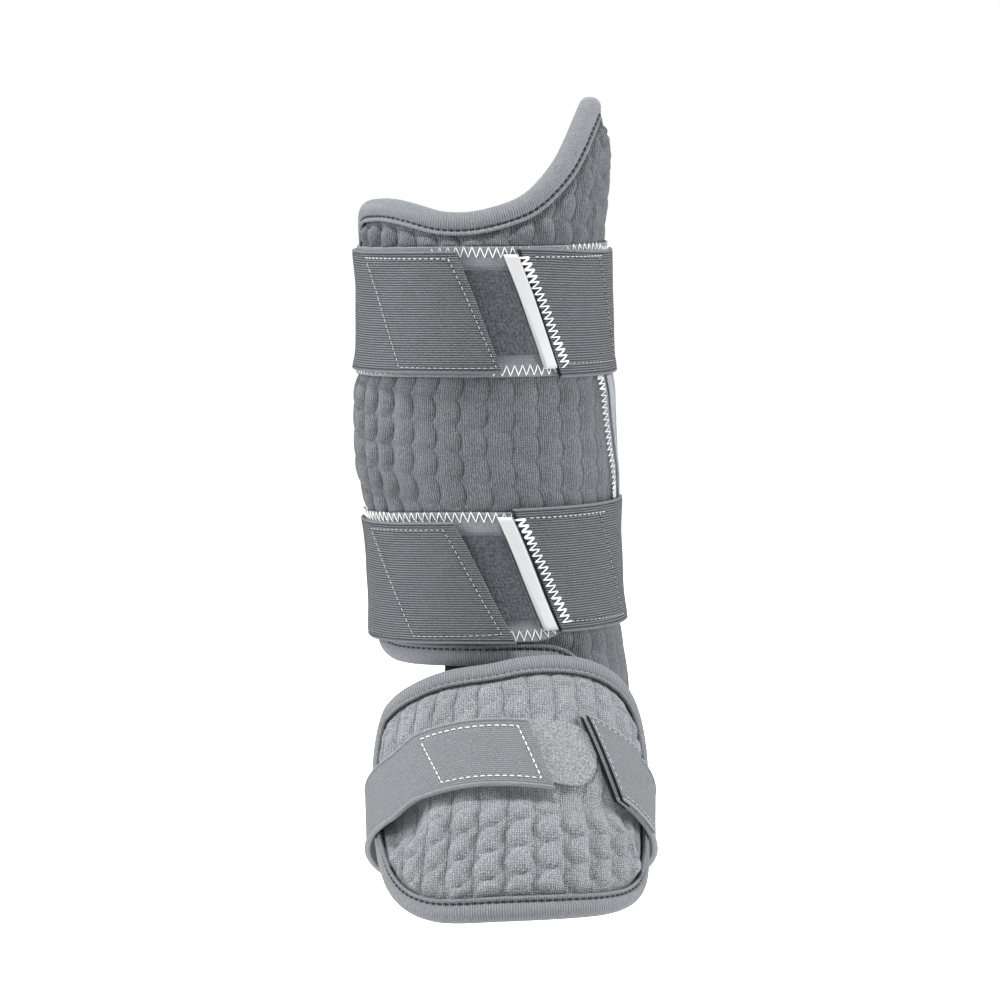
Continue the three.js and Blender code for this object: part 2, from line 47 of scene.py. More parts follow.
leg = {
    "height": 270, "originLevel": 0.448, "halfWidth": 54, "frontDepth": 54, "backDepth": 50, "wingTuck": 2,
    "sections": [  # level, shift, width, depth
        (0.0, 0.16, 0.99, 1.1), (0.074, 0.143, 0.992, 1.08), (0.152, 0.11, 0.975, 1.05),
        (0.23, 0.082, 0.952, 1.01), (0.309, 0.06, 0.957, 1.0), (0.374, 0.028, 0.994, 1.0),
        (0.43, 0.0, 1.026, 1.0), (0.53, -0.014, 1.02, 1.0), (0.6, -0.001, 0.96, 1.0),
        (0.69, -0.005, 0.95, 1.0), (0.79, -0.026, 0.966, 1.01), (0.87, -0.014, 0.99, 1.02),
        (1.0, -0.02, 1.0, 1.04),
    ],
}

foot = {
    "top": (11, -71, -85), "length": 118, "halfWidth": 55.6, "depth": 46, "soleDepth": 44,
    "sections": [  # along, lean, width, depth, shift
        (-0.12, 40, 0.985, 0.72, 0.0), (0.0, 41, 1.01, 0.78, 0.0), (0.26, 42, 1.045, 0.9, -0.005),
        (0.52, 37, 1.035, 1.0, 0.0), (0.78, 28, 1.035, 1.0, 0.006), (1.04, 16, 1.03, 0.92, 0.006),
    ],
}

pad = {  # walls and clearances shared by both padded pieces
    "gap": 0.4, "wall": 8, "rimWall": 4.5, "rimSink": 2, "innerRim": 7.5, "innerRise": 7,
    "panel": 1, "patch": 1, "strap": 1.8, "tab": 1.8,
}
mm = 0.001  # metres in a millimetre
edgeStep = 0.5

def mix(a, b, share):
    return a + (b - a) * share

def smooth(x):
    # 3x squared less 2x cubed, held at 0 below 0 and at 1 above 1
    x = np.clip(x, 0, 1)
    return x * x * (3 - 2 * x)

def ramp(x, start, span):
    # 0 up to the start, 1 from start + span on
    return smooth((x - start) / span)

def bell(x, middle, reach):
    # e to the -((x - middle) / reach) squared
    return np.exp(-(((x - middle) / reach) ** 2))

def unit(vectors):
    return vectors / np.linalg.norm(vectors, axis=-1, keepdims=True)

def hermite(t, start, end, leaving, arriving):
    # Cubic from start to end, with the two slopes given for a whole step of t
    return (
        (2 * t**3 - 3 * t**2 + 1) * start + (t**3 - 2 * t**2 + t) * leaving
        + (3 * t**2 - 2 * t**3) * end + (t**3 - t**2) * arriving
    )

def tableCurve(rows, column, at):
    # Cubic Hermite through the rows; a row's slope is the harmonic mean of the
    # rises on both sides, or 0 where they differ in sign, so nothing overshoots.
    table = np.array(rows, float)
    keys, values = table[:, 0], table[:, column]
    rise = np.diff(values) / np.diff(keys)
    before, after = rise[:-1], rise[1:]
    total = np.where(before + after == 0, 1, before + after)
    slope = np.concatenate([rise[:1], np.where(before * after > 0, 2 * before * after / total, 0), rise[-1:]])
    x = np.clip(np.asarray(at, float), keys[0], keys[-1])
    row = np.clip(np.searchsorted(keys, x, side="right") - 1, 0, len(keys) - 2)
    width = keys[row + 1] - keys[row]
    return hermite((x - keys[row]) / width, values[row], values[row + 1], width * slope[row], width * slope[row + 1])

def legPoint(turn, height, lift):
    # Ellipse round the leg's axis: x = shift + (width + lift) sin turn, y = -(depth +
    # lift) cos turn, with its sizes read from the sections at that height.
    turn, height, lift = np.broadcast_arrays(np.asarray(turn, float), height, lift)
    level = height / leg["height"] + leg["originLevel"]
    angle = np.radians(turn)
    across = tableCurve(leg["sections"], 2, level) * leg["halfWidth"]
    front = tableCurve(leg["sections"], 3, level) * leg["frontDepth"]
    deep = np.where(np.cos(angle) >= 0, front, leg["backDepth"])
    tuck = leg["wingTuck"] * ramp(level, 0.85, 0.17) * np.maximum(0, np.sin(angle)) ** 2
    x = tableCurve(leg["sections"], 1, level) * leg["halfWidth"] + (across + lift) * np.sin(angle) - tuck
    return np.stack([x, -(deep + lift) * np.cos(angle), height], -1)

def footLine():
    # Middle line of the foot: small steps forwards and down by the lean's sine and cosine
    along = np.linspace(-0.3, 1.3, 281)  # shares of the foot's length
    lean = np.radians(tableCurve(foot["sections"], 1, along))
    stride = (along[-1] - along[0]) / (len(along) - 1) * foot["length"]
    y = np.concatenate([[0], np.cumsum(-np.sin(lean[:-1]) * stride)])
    z = np.concatenate([[0], np.cumsum(-np.cos(lean[:-1]) * stride)])
    start = np.argmax(along >= -1e-9)
    return along, y - y[start], z - z[start], lean

footMiddle = footLine()

def footPoint(turn, distance, lift):
    # Half ellipse square to the foot's middle line: x = shift + (width + lift) sin
    # turn, and (depth + lift) (1 - cos turn) back from the line, turned by its lean.
    turn, distance, lift = np.broadcast_arrays(np.asarray(turn, float), distance, lift)
    along = distance / foot["length"]
    angle = np.radians(turn)
    lineY, lineZ, lean = (np.interp(along, footMiddle[0], values) for values in footMiddle[1:])
    shift = tableCurve(foot["sections"], 4, along) * foot["halfWidth"]
    across = tableCurve(foot["sections"], 2, along) * foot["halfWidth"]
    front = tableCurve(foot["sections"], 3, along) * foot["depth"]
    deep = np.where(np.cos(angle) >= 0, front, foot["soleDepth"])
    back = front - (deep + lift) * np.cos(angle)
    return np.stack([
        foot["top"][0] + shift + (across + lift) * np.sin(angle),
        foot["top"][1] + lineY + back * np.cos(lean),
        foot["top"][2] + lineZ - back * np.sin(lean),
    ], -1)

shinScale = math.radians(leg["halfWidth"])
footScale = math.radians(foot["halfWidth"])

wingLean = {"by": 3, "height": 124, "span": 22, "turn": 66, "turnSpan": 24}

def shinSurface(flat, lift):
    # The leg's form, with the far side of the wing's tip leaning in
    turn = flat[..., 0] / shinScale
    points = legPoint(turn, flat[..., 1], lift)
    up = ramp(points[..., 2], wingLean["height"], wingLean["span"])
    points[..., 0] -= wingLean["by"] * up * ramp(turn, wingLean["turn"], wingLean["turnSpan"])
    return points

def footSurface(flat, lift):
    return footPoint(flat[..., 0] / footScale, flat[..., 1], lift)

# Meshes

def makeMesh(name, points, faces, uvs, materials, faceMaterial=None):
    # faces and uvs are lists of arrays, one row a face, with uvs in metres per corner
    mesh = bpy.data.meshes.new(name)
    mesh.from_pydata((points * mm).tolist(), [], [face for block in faces for face in block.tolist()])
    for layerName, layer in uvs.items():
        corners = np.concatenate([block.reshape(-1) for block in layer])
        mesh.uv_layers.new(name=layerName).data.foreach_set("uv", corners)
    for material in materials:
        mesh.materials.append(material)
    if faceMaterial is not None:
        mesh.polygons.foreach_set("material_index", faceMaterial.astype(np.int32))
    mesh.polygons.foreach_set("use_smooth", np.ones(len(mesh.polygons), bool))
    mesh.update()
    piece = bpy.data.objects.new(name, mesh)
    bpy.context.scene.collection.objects.link(piece)
    return piece

def signedVolume(points, faces):
    # A sixth of the sum of a . (b x c) over fans of triangles
    total = 0.0
    for block in faces:
        for k in range(1, block.shape[1] - 1):
            a, b, c = points[block[:, 0]], points[block[:, k]], points[block[:, k + 1]]
            total += np.einsum("ij,ij->", a, np.cross(b, c))
    return total / 6

def turnedOut(points, faces, uvs):
    # Reverses every face where the closed body's volume comes out negative
    if signedVolume(points, faces) >= 0:
        return faces, uvs
    return [block[:, ::-1] for block in faces], {k: [block[:, ::-1] for block in v] for k, v in uvs.items()}

def gridQuads(index):
    # Quads between neighbours of a two-way array of vertex numbers
    return np.stack([index[:-1, :-1], index[1:, :-1], index[1:, 1:], index[:-1, 1:]], -1).reshape(-1, 4)

def gridCorners(values):
    # The same corners of a two-way array of values, as faces of uvs
    return np.stack([values[:-1, :-1], values[1:, :-1], values[1:, 1:], values[:-1, 1:]], 2).reshape(-1, 4, 2)

def keep(piece, slotName, *nodes):
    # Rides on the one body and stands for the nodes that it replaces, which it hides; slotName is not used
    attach(piece, "root")
    if nodes:
        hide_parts(*nodes)
    return piece

# Materials

def toLinear(code):
    # sRGB hex to linear: c / 12.92 below 0.04045, else ((c + 0.055) / 1.055) to the 2.4
    values = [int(code[i:i + 2], 16) / 255 for i in (1, 3, 5)]
    return tuple(v / 12.92 if v <= 0.04045 else ((v + 0.055) / 1.055) ** 2.4 for v in values) + (1.0,)

def addNode(tree, kind, settings=None):
    # A key is an input's number or name, or else a property; a socket is linked to it
    node = tree.nodes.new(kind)
    for key, value in (settings or {}).items():
        if not (isinstance(key, int) or key in node.inputs):
            setattr(node, key, value)
        elif isinstance(value, bpy.types.NodeSocket):
            tree.links.new(value, node.inputs[key])
        else:
            node.inputs[key].default_value = value
    return node

def maths(tree, operation, *terms):
    # One Math node; each term is a socket or a number
    return addNode(tree, "ShaderNodeMath", {"operation": operation, **dict(enumerate(terms))}).outputs[0]

def remap(tree, value, low, high, toLow=0.0, toHigh=1.0):
    # low to high becomes toLow to toHigh, held at both ends
    return addNode(tree, "ShaderNodeMapRange", {0: value, 1: low, 2: high, 3: toLow, 4: toHigh}).outputs[0]

def blend(tree, share, a, b):
    return addNode(tree, "ShaderNodeMix", {"data_type": "FLOAT", 0: share, 2: a, 3: b}).outputs[0]

def noise(tree, scale, detail, output="Fac", rough=0.5):
    # Noise in the object's own coordinates, scale cycles a metre
    place = addNode(tree, "ShaderNodeTexCoord").outputs["Object"]
    settings = {"Vector": place, "Scale": scale, "Detail": detail, "Roughness": rough}
    return addNode(tree, "ShaderNodeTexNoise", settings).outputs[output]

def flatPlace(tree, layer, axis):
    # One coordinate of a UV layer
    flat = addNode(tree, "ShaderNodeUVMap", {"uv_map": layer}).outputs[0]
    return addNode(tree, "ShaderNodeSeparateXYZ", {0: flat}).outputs[axis]

def addBump(tree, shader, height, strength, distance):
    bump = addNode(tree, "ShaderNodeBump", {"Strength": strength, "Distance": distance, "Height": height})
    tree.links.new(bump.outputs[0], shader.inputs["Normal"])

def startMaterial(name, look):
    material = bpy.data.materials.new(name)
    material.use_nodes = True
    tree = material.node_tree
    tree.nodes.clear()
    shader = addNode(tree, "ShaderNodeBsdfPrincipled", {
        "Base Color": toLinear(look["colour"]), "Roughness": look["roughness"], "Metallic": 0.0,
        "IOR": 1.5, "Specular IOR Level": look.get("specular", 0.3),
        "Sheen Weight": look.get("sheen", 0.0), "Sheen Roughness": 0.5,
    })
    tree.links.new(shader.outputs[0], addNode(tree, "ShaderNodeOutputMaterial").inputs[0])
    return material, tree, shader

def ribWave(tree, coordinate, pitch):
    # 0.5 + 0.5 sin(2 pi x / pitch), from a coordinate in metres and a pitch in mm
    wave = maths(tree, "SINE", maths(tree, "MULTIPLY", coordinate, 2 * math.pi / (pitch * mm)))
    return maths(tree, "MULTIPLY_ADD", wave, 0.5, 0.5)

def addSelvedge(tree, look, shade, raised):
    # Plain cloth along both edges, with painted shade in the groove where the ribs begin, which the bump also sinks
    rim, width = flatPlace(tree, "rim", 0), look["selvedge"] * mm
    inside = remap(tree, rim, width - 0.2 * mm, width + 0.2 * mm)
    off = maths(tree, "ABSOLUTE", maths(tree, "SUBTRACT", rim, width + 0.1 * mm))
    # painted shade: half as bright at the groove's middle
    line = remap(tree, off, 0.1 * mm, 0.6 * mm, 0.5, 1.0)
    shade = maths(tree, "MULTIPLY", blend(tree, inside, look["selvedgeTone"], shade), line)
    return shade, maths(tree, "ADD", blend(tree, inside, 0.6, raised), line)

def addCreaseShade(tree, depth, shade, raised):
    # Painted shade in the creases between the columns of cells, darkest half way up each cell; the bump sinks the
    # creases too
    line = addNode(tree, "ShaderNodeValToRGB", {0: maths(tree, "FRACT", flatPlace(tree, "cells", 0))})
    stops = [(0.0, 0.35), (0.035, 0.85), (0.09, 1.0), (0.84, 1.0), (0.93, 0.75), (0.975, 0.25), (1.0, 0.0)]
    for at, _ in stops[1:-1]:
        line.color_ramp.elements.new(at)
    for element, (at, level) in zip(line.color_ramp.elements, stops):
        element.position = at
        element.color = (level, level, level, 1)
    beat = maths(tree, "COSINE", maths(tree, "MULTIPLY", flatPlace(tree, "cells", 1), 2 * math.pi))
    deep = remap(tree, beat, -1.0, 1.0, 1 - depth, 1 - depth * 0.35)
    shade = maths(tree, "MULTIPLY", shade, blend(tree, line.outputs[0], deep, 1.0))
    return shade, maths(tree, "MULTIPLY_ADD", line.outputs[0], 2.0, raised)

def clothMaterial(name, look):
    # Woven or knitted cloth: waves at the pitch of its ribs along and across, uneven
    # yarn and a heather of two greys. They shade the colour and raise the surface.
    material, tree, shader = startMaterial(name, look)
    flat = addNode(tree, "ShaderNodeUVMap", {"uv_map": "flat"}).outputs[0]
    wobble = noise(tree, look.get("wobbleScale", 160.0), 2.0, "Color")
    shifted = addNode(tree, "ShaderNodeVectorMath",
                      {"operation": "SCALE", 0: wobble, "Scale": look.get("wobble", 0.0004)}).outputs[0]
    moved = addNode(tree, "ShaderNodeVectorMath", {"operation": "ADD", 0: flat, 1: shifted}).outputs[0]
    axes = addNode(tree, "ShaderNodeSeparateXYZ", {0: moved}).outputs
    ribs = 0.0
    for axis, pitch, weight in look["ribs"]:
        ribs = maths(tree, "MULTIPLY_ADD", ribWave(tree, axes[axis], pitch), weight, ribs)
    yarn = noise(tree, 1000 / look["yarn"], 3.0, rough=0.7)
    tone = addNode(tree, "ShaderNodeMix", {"data_type": "RGBA", 0: remap(tree, yarn, 0.36, 0.64),
                                           6: toLinear(look["dark"]), 7: toLinear(look["colour"])}).outputs[2]
    shade = remap(tree, ribs, 0.0, 1.0, look["shade"], 1.0)
    raised = maths(tree, "MULTIPLY_ADD", yarn, look.get("fuzz", 0.35), ribs)
    if "selvedge" in look:
        shade, raised = addSelvedge(tree, look, shade, raised)
    if "patches" in look:
        broad = noise(tree, 1000 / look["patches"], 1.0)
        shade = maths(tree, "MULTIPLY", shade, remap(tree, broad, 0.3, 0.7, 0.92, 1.07))
    if "creaseShade" in look:
        shade, raised = addCreaseShade(tree, look["creaseShade"], shade, raised)
    coloured = addNode(tree, "ShaderNodeVectorMath", {"operation": "SCALE", 0: tone, "Scale": shade})
    tree.links.new(coloured.outputs[0], shader.inputs["Base Color"])
    addBump(tree, shader, raised, look["bump"], look["relief"] * mm)
    return material

# ribs are (axis, pitch in mm, weight), and yarn, patches and selvedge are in mm
quiltKnit = {"roughness": 0.9, "sheen": 0.1, "bump": 1.0, "patches": 12, "wobble": 0.0013, "wobbleScale": 420.0}
tapeKnit = {"roughness": 0.8, "sheen": 0.1, "ribs": [(0, 1.0, 1.0)], "yarn": 0.7, "bump": 0.8, "relief": 0.25,
            "wobble": 0.0002}
plainKnit = {"roughness": 0.88, "sheen": 0.1, "ribs": [(0, 0.9, 0.5), (1, 0.9, 0.5)], "yarn": 0.8, "shade": 0.8,
             "bump": 0.5, "relief": 0.12}
loopPile = {"roughness": 1.0, "sheen": 0.3, "ribs": [(0, 1.7, 0.2), (1, 1.5, 0.2)], "bump": 1.0, "relief": 0.4,
            "fuzz": 1.2, "wobble": 0.002}
looks = {
    # polyester knit bonded over foam: matt, with fine wales and courses that show as
    # dots. Its stitches are 0.8 mm apart, drawn at 0.95 so that they show.
    # creaseShade is how deep the painted shade in the quilt's creases goes
    "shinKnit": {**quiltKnit, "colour": "#84888c", "dark": "#5e6266", "ribs": [(0, 0.95, 0.78), (1, 0.95, 0.22)],
                 "yarn": 0.75, "shade": 0.28, "relief": 0.25, "creaseShade": 0.68},
    "footKnit": {**quiltKnit, "colour": "#b1b5b8", "dark": "#777b7f", "ribs": [(0, 0.95, 0.6), (1, 1.05, 0.4)],
                 "yarn": 0.7, "shade": 0.38, "relief": 0.3, "creaseShade": 0.3},
    # knitted edge tape: ribs of 1 mm run across it, and catch the light on their crowns
    "shinTape": {**tapeKnit, "colour": "#868a8e", "dark": "#73777b", "shade": 0.62},
    "footTape": {**tapeKnit, "colour": "#888c8f", "dark": "#74787c", "shade": 0.58},
    # plain knit band and its fold: smoother than the quilt. The fold is the same knit in a lighter colour, painted
    # light where it catches the light
    "bandKnit": {**plainKnit, "colour": "#858a8e", "dark": "#70757a"},
    "foldKnitPaintedLight": {**plainKnit, "colour": "#9a9ea1", "dark": "#888c90"},
    # brushed loop pile: short fuzz that scatters, no glint
    "shinPile": {**loopPile, "colour": "#585c60", "dark": "#34383c", "yarn": 1.1, "shade": 0.85},
    "footPile": {**loopPile, "colour": "#a0a4a6", "dark": "#686c6f", "yarn": 0.9, "shade": 0.9},
    # woven elastic: rubber cords under the weave make ribs 0.95 mm apart along its
    # length, drawn at 1.0 so that they show, between plain selvedges
    "shinElastic": {"colour": "#868a8e", "dark": "#666a6e", "roughness": 0.75, "ribs": [(1, 1.0, 0.76), (0, 0.95, 0.24)],
                    "yarn": 0.6, "shade": 0.0, "bump": 1.0, "relief": 0.45, "wobble": 0.0001,
                    "selvedge": 1.2, "selvedgeTone": 0.7},
    # twill webbing: fine, nearly flat, with a slanted grain
    "footTwill": {"colour": "#929699", "dark": "#74787b", "roughness": 0.8, "ribs": [(1, 0.9, 0.7), (0, 1.1, 0.3)],
                  "yarn": 0.6, "shade": 0.36, "bump": 0.8, "relief": 0.22, "wobble": 0.0007,
                  "selvedge": 1.5, "selvedgeTone": 0.95},
    # plain black elastic: a tight flat weave, nearly without shine
    "blackElastic": {"colour": "#1c1c1e", "dark": "#101012", "roughness": 0.7, "ribs": [(0, 1.0, 0.7), (1, 0.9, 0.3)],
                     "yarn": 0.6, "shade": 0.7, "bump": 0.7, "relief": 0.25, "wobble": 0.0001},
    # lining: fine mesh knit on the inside of the foam
    "lining": {"colour": "#8b8f93", "dark": "#6f7377", "roughness": 0.9, "ribs": [(0, 1.4, 0.5), (1, 1.4, 0.5)],
               "yarn": 0.9, "shade": 0.7, "bump": 0.6, "relief": 0.2},
}
cloths = {name: clothMaterial(name, look) for name, look in looks.items()}

def threadMaterial(name, colour):
    # Twisted polyester thread: a soft shine and a fine uneven twist
    material, tree, shader = startMaterial(name, {"colour": colour, "roughness": 0.55, "sheen": 0.1})
    addBump(tree, shader, noise(tree, 2500.0, 1.0), 0.5, 0.1 * mm)
    return material

whiteThread = threadMaterial("whiteThread", "#f2f2f2")
greyThread = threadMaterial("greyThread", "#b4b8bb")
blackThread = threadMaterial("blackThread", "#242527")

def mouldedMaterial(name, look):
    # Injection-moulded soft rubber: satin, with the faint grain of an eroded mould
    material, tree, shader = startMaterial(name, look)
    grain = noise(tree, 1800.0, 2.0)
    rough = remap(tree, grain, 0.0, 1.0, look["roughness"] - 0.06, look["roughness"] + 0.06)
    tree.links.new(rough, shader.inputs["Roughness"])
    addBump(tree, shader, grain, 0.3, 0.05 * mm)
    return material

whiteRubber = mouldedMaterial("whiteRubber", {"colour": "#bcbdbe", "roughness": 0.42, "specular": 0.5})
print("materials made")

# Outlines of the two padded pieces

def closedCurve(points, fineness):
    # Cubic Hermite through the points, each slope half the step between neighbours
    after = np.roll(points, -1, 0)
    slope = 0.5 * (after - np.roll(points, 1, 0))
    t = (np.arange(fineness) / fineness)[None, :, None]
    curve = hermite(t, points[:, None], after[:, None], slope[:, None], np.roll(slope, -1, 0)[:, None])
    return curve.reshape(-1, 2)

def walk(line, distances):
    # Places at given distances along a line, read off against the length travelled
    travelled = np.concatenate([[0], np.cumsum(np.linalg.norm(np.diff(line, axis=0), axis=1))])
    return np.stack([np.interp(distances, travelled, line[:, k]) for k in (0, 1)], -1)

def lengthOf(line):
    return float(np.linalg.norm(np.diff(line, axis=0), axis=1).sum())

def edgeOf(outline, toFlat, fineness=24):
    # The closed edge in even steps, and its four sides between the corner rows
    rows = np.array([row[:2] for row in outline], float)
    fine = closedCurve(toFlat(rows), fineness)
    closed = np.concatenate([fine, fine[:1]])
    marks = [i * fineness for i, row in enumerate(outline) if len(row) > 2] + [len(fine)]
    sides = [closed[a:b + 1] for a, b in zip(marks[:-1], marks[1:])]
    even = walk(closed, np.linspace(0, lengthOf(closed), int(lengthOf(closed) / edgeStep))[:-1])
    return even, sides

def fourSided(sides, across, down):
    # Where the two sides' columns put a place, plus where its rows do, less where
    # the corners alone would put it
    u, v = np.linspace(0, 1, across + 1), np.linspace(0, 1, down + 1)
    top, right, bottom, left = (walk(side, share * lengthOf(side)) for side, share in zip(sides, (u, v, u, v)))
    bottom, left = bottom[::-1], left[::-1]
    u, v = u[:, None, None], v[None, :, None]
    corners = mix(mix(top[:1, None], top[-1:, None], u), mix(bottom[:1, None], bottom[-1:, None], u), v)
    return mix(top[:, None], bottom[:, None], v) + mix(left[None], right[None], u) - corners

def nearestEdge(flat, edge):
    # Distance to the closest point of the edge, and how far round the edge it is
    places = flat.reshape(-1, 2)
    away, around = np.empty(len(places)), np.empty(len(places))
    size = 4096  # places at a time, to spare the memory
    for start in range(0, len(places), size):
        block = places[start:start + size]
        square = ((block[:, None] - edge[None]) ** 2).sum(-1)
        nearest = square.argmin(1)
        away[start:start + size] = np.sqrt(square[np.arange(len(block)), nearest])
        around[start:start + size] = nearest * edgeStep
    return away.reshape(flat.shape[:2]), around.reshape(flat.shape[:2])

shinOutline = [  # turn, level, and a mark at each corner
    (-84, 0.813, "corner"), (-75, 0.828), (-63, 0.833), (-50, 0.834), (-36, 0.828), (-20, 0.817), (-5, 0.817),
    (10, 0.828), (22, 0.844), (32, 0.87), (42, 0.902), (51, 0.936), (60, 0.967), (70, 0.989), (81, 0.986),
    (92, 0.955, "corner"), (101, 0.89), (106, 0.78), (108, 0.6), (108, 0.4), (107, 0.22), (103, 0.11),
    (94, 0.045, "corner"), (80, 0.016), (65, 0.018), (52, 0.045), (40, 0.088), (29, 0.122), (16, 0.131),
    (-5, 0.131), (-28, 0.129), (-50, 0.126), (-64, 0.128), (-76, 0.141),
    (-87, 0.176, "corner"), (-96, 0.24), (-102, 0.34), (-104, 0.45), (-104, 0.56), (-101, 0.67), (-94, 0.765),
]
footOutline = [  # turn, along, and a mark at each corner
    (-71, 0.068, "corner"), (-60, 0.042), (-46, 0.026), (-30, 0.012), (-10, 0.004), (6, -0.024), (22, -0.042),
    (36, -0.046), (50, -0.03), (62, 0.008), (72, 0.076, "corner"), (79, 0.2), (81, 0.38), (81, 0.55), (78, 0.7),
    (71, 0.8, "corner"), (60, 0.875), (44, 0.925), (20, 0.955), (-8, 0.968), (-30, 0.966), (-45, 0.932),
    (-57, 0.866), (-67, 0.765, "corner"), (-75, 0.63), (-80, 0.47), (-81, 0.3), (-78, 0.15),
]
shinEdge, shinSides = edgeOf(
    shinOutline, lambda rows: np.stack([rows[:, 0] * shinScale, (rows[:, 1] - leg["originLevel"]) * leg["height"]], -1))
footEdge, footSides = edgeOf(
    footOutline, lambda rows: np.stack([rows[:, 0] * footScale, rows[:, 1] * foot["length"]], -1))

# Padded walls

def scaleCells(x, y, quilt):
    # Fish scales on their side: column lines bow to +x by (1 - (2t - 1)^2)^0.6 over
    # each cell's height t. Between two lines, s apart, the cloth puffs by
    # sin(pi s)^0.6, with domes of (1 - r^2)^0.6 on top, where r^2 = ((s - c) / a)^2 +
    # ((t - row) / b)^2 and a is smaller on a dome's crisp side.
    warpX = x + quilt["waver"] * np.sin(y / 17 + 1.3) * np.cos(x / 29) + 0.4 * np.sin(y / 6.1 + x / 9)
    warpY = y + quilt["stagger"] * warpX + quilt["waver"] * np.sin(x / 13 + 0.4) * np.cos(y / 31)
    t = np.mod(warpY / quilt["cellHeight"], 1)
    arc = quilt["bow"] * (1 - (2 * t - 1) ** 2) ** 0.6
    across = (warpX - arc) / quilt["cellWidth"]
    s = np.mod(across, 1)
    puff = quilt["flatShare"] * np.sin(math.pi * s) ** 0.6
    for row, centre, left, right, tall, weight in quilt["domes"]:
        aside, above = (np.mod(gap + 0.5, 1) - 0.5 for gap in (s - centre, t - row))
        square = (aside / np.where(aside < 0, left, right)) ** 2 + (above / tall) ** 2
        puff = puff + weight * np.clip(1 - square, 0, 1) ** 0.6
    return np.stack([across, warpY / quilt["cellHeight"]], -1), puff - 0.4

def paddedWall(name, wall, edge, sides, surface, relief, materials):
    # Outer skin: lift = relief x fullness - sink x (1 - fullness), where fullness
    # grows from the binding inwards. The inner skin lies a wall further in.
    flat = fourSided(sides, wall["across"], wall["down"])
    away, around = nearestEdge(flat, edge)
    fullness = ramp(away, wall["rim"], wall["rise"])
    raised, cells = relief(flat, away, around)
    outer = surface(flat, -pad["rimSink"] * (1 - fullness) + raised * fullness)
    flatIn, fullIn = flat[::2, ::2], ramp(away[::2, ::2], pad["innerRim"], pad["innerRise"])
    inner = surface(flatIn, mix(-pad["rimSink"] * (1 - fullIn) - pad["rimWall"], -pad["wall"], fullIn))
    points = np.concatenate([outer.reshape(-1, 3), inner.reshape(-1, 3)])
    outIndex = np.arange(outer[..., 0].size).reshape(outer.shape[:2])
    inIndex = outIndex.size + np.arange(inner[..., 0].size).reshape(inner.shape[:2])

    def rimOf(index):
        return np.concatenate([index[:-1, 0], index[-1, :-1], index[:0:-1, -1], index[0, :0:-1]])

    o, i = rimOf(outIndex), rimOf(inIndex)
    o0, o1, o2, i0, i1 = o[::2], o[1::2], np.roll(o, -2)[::2], i, np.roll(i, -1)
    rim = np.concatenate([np.stack(t, -1) for t in ((o1, o0, i0), (i1, o1, i0), (o2, o1, i1))])
    faces = [gridQuads(outIndex), gridQuads(inIndex)[:, ::-1], rim]
    # the wales run straight on over each puff, and the courses nearly so
    aside = flat[..., 0] + 0.7 * raised * np.sin(flat[..., 0] / 60)
    flatMetres = np.stack([aside, flat[..., 1] + 0.06 * raised], -1) * mm
    uvs = {
        "flat": [gridCorners(flatMetres), gridCorners(flatMetres[::2, ::2])[:, ::-1], np.zeros((len(rim), 3, 2))],
        "cells": [gridCorners(cells), gridCorners(cells[::2, ::2])[:, ::-1], np.full((len(rim), 3, 2), 0.5)],
    }
    faces, uvs = turnedOut(points, faces, uvs)
    kinds = np.concatenate([np.full(len(block), k) for block, k in zip(faces, (0, 1, 1))])
    return makeMesh(name, points, faces, uvs, materials, kinds)

strapWidth = 51
sewnSlant = 18.8  # degrees from the foot of the sewn edge to its top
bandHalf = strapWidth / 2 + 1.7
bands = {
    "upper": {"middle": 60.6, "start": 60.6, "end": 60.6, "tabTurn": -1.7,
              "tabSlant": 18.8, "pullTurn": 18.2, "sag": 1.7,
              "bandFoot": [(0, 0), (360, 0)],
              "sewnTop": [(10, 1.4), (28, 0.9), (52, -0.6), (76, -1.5), (140, 0), (360, 0)],
              "sewnFoot": [(20, -1.4), (34, -2.5), (76, -2.8), (140, 0), (360, 0)]},
    "lower": {"middle": -50.3, "start": -47.4, "end": -52.4, "tabTurn": -4,
              "tabSlant": 23.5, "pullTurn": 12, "sag": 3.2,
              "bandFoot": [(18, 0), (26, 1.8), (34, 4.8), (46, 5.4), (99, 5.4)],
              "sewnTop": [(6, 0.3), (30, 0.7), (76, 0.8), (140, 0), (360, 0)],
              "sewnFoot": [(14, -0.6), (34, -1.2), (76, -1.3), (140, 0), (360, 0)]},
}

def sagAt(band, turn):
    # Down by sag x smooth(turns to the left of 5 / 75), and back to nothing behind the leg
    back = np.where(turn > 180, turn - 360, turn)
    return -band["sag"] * ramp(-back, 5, 75) * ramp(back, -180, 80)

def bandHeight(band, turn, v):
    # From the foot (v = 0), which rises to the right by the table bandFoot, to the top
    return band["middle"] + sagAt(band, turn) + mix(tableCurve(band["bandFoot"], 1, turn) - bandHalf, bandHalf, v)

panelFrom, panelTo = -90, 99
panelBase = pad["gap"] * 1.5
panelTop = panelBase + pad["panel"]
strapBase = panelTop + pad["gap"]
tabBase = panelTop + pad["gap"] + pad["patch"] + pad["gap"]
sideSeam = [(0.0, 79), (0.2, 75), (0.35, 71.5), (0.6, 67.5), (1.0, 64)]  # share of the height between bands, turn
sideBottom = bands["lower"]["middle"] + bandHalf + pad["gap"]
sideTop = bands["upper"]["middle"] - bandHalf - pad["gap"]

shinQuilt = {
    "across": 232, "down": 300, "rim": 6.0, "rise": 6.0,
    "cellWidth": 10.8, "cellHeight": 11.4, "bow": 2.6, "stagger": 0.1, "waver": 0.7,
    "puff": 0.7, "rightPuff": 0.85, "leftPuff": 2.1, "wingPuff": 1.1, "wingBulge": 1.9,
    "flatShare": 0.5, "domes": [(0.5, 0.55, 0.4, 0.38, 0.5, 0.8)],  # row, centre, left, right, tall, weight
}

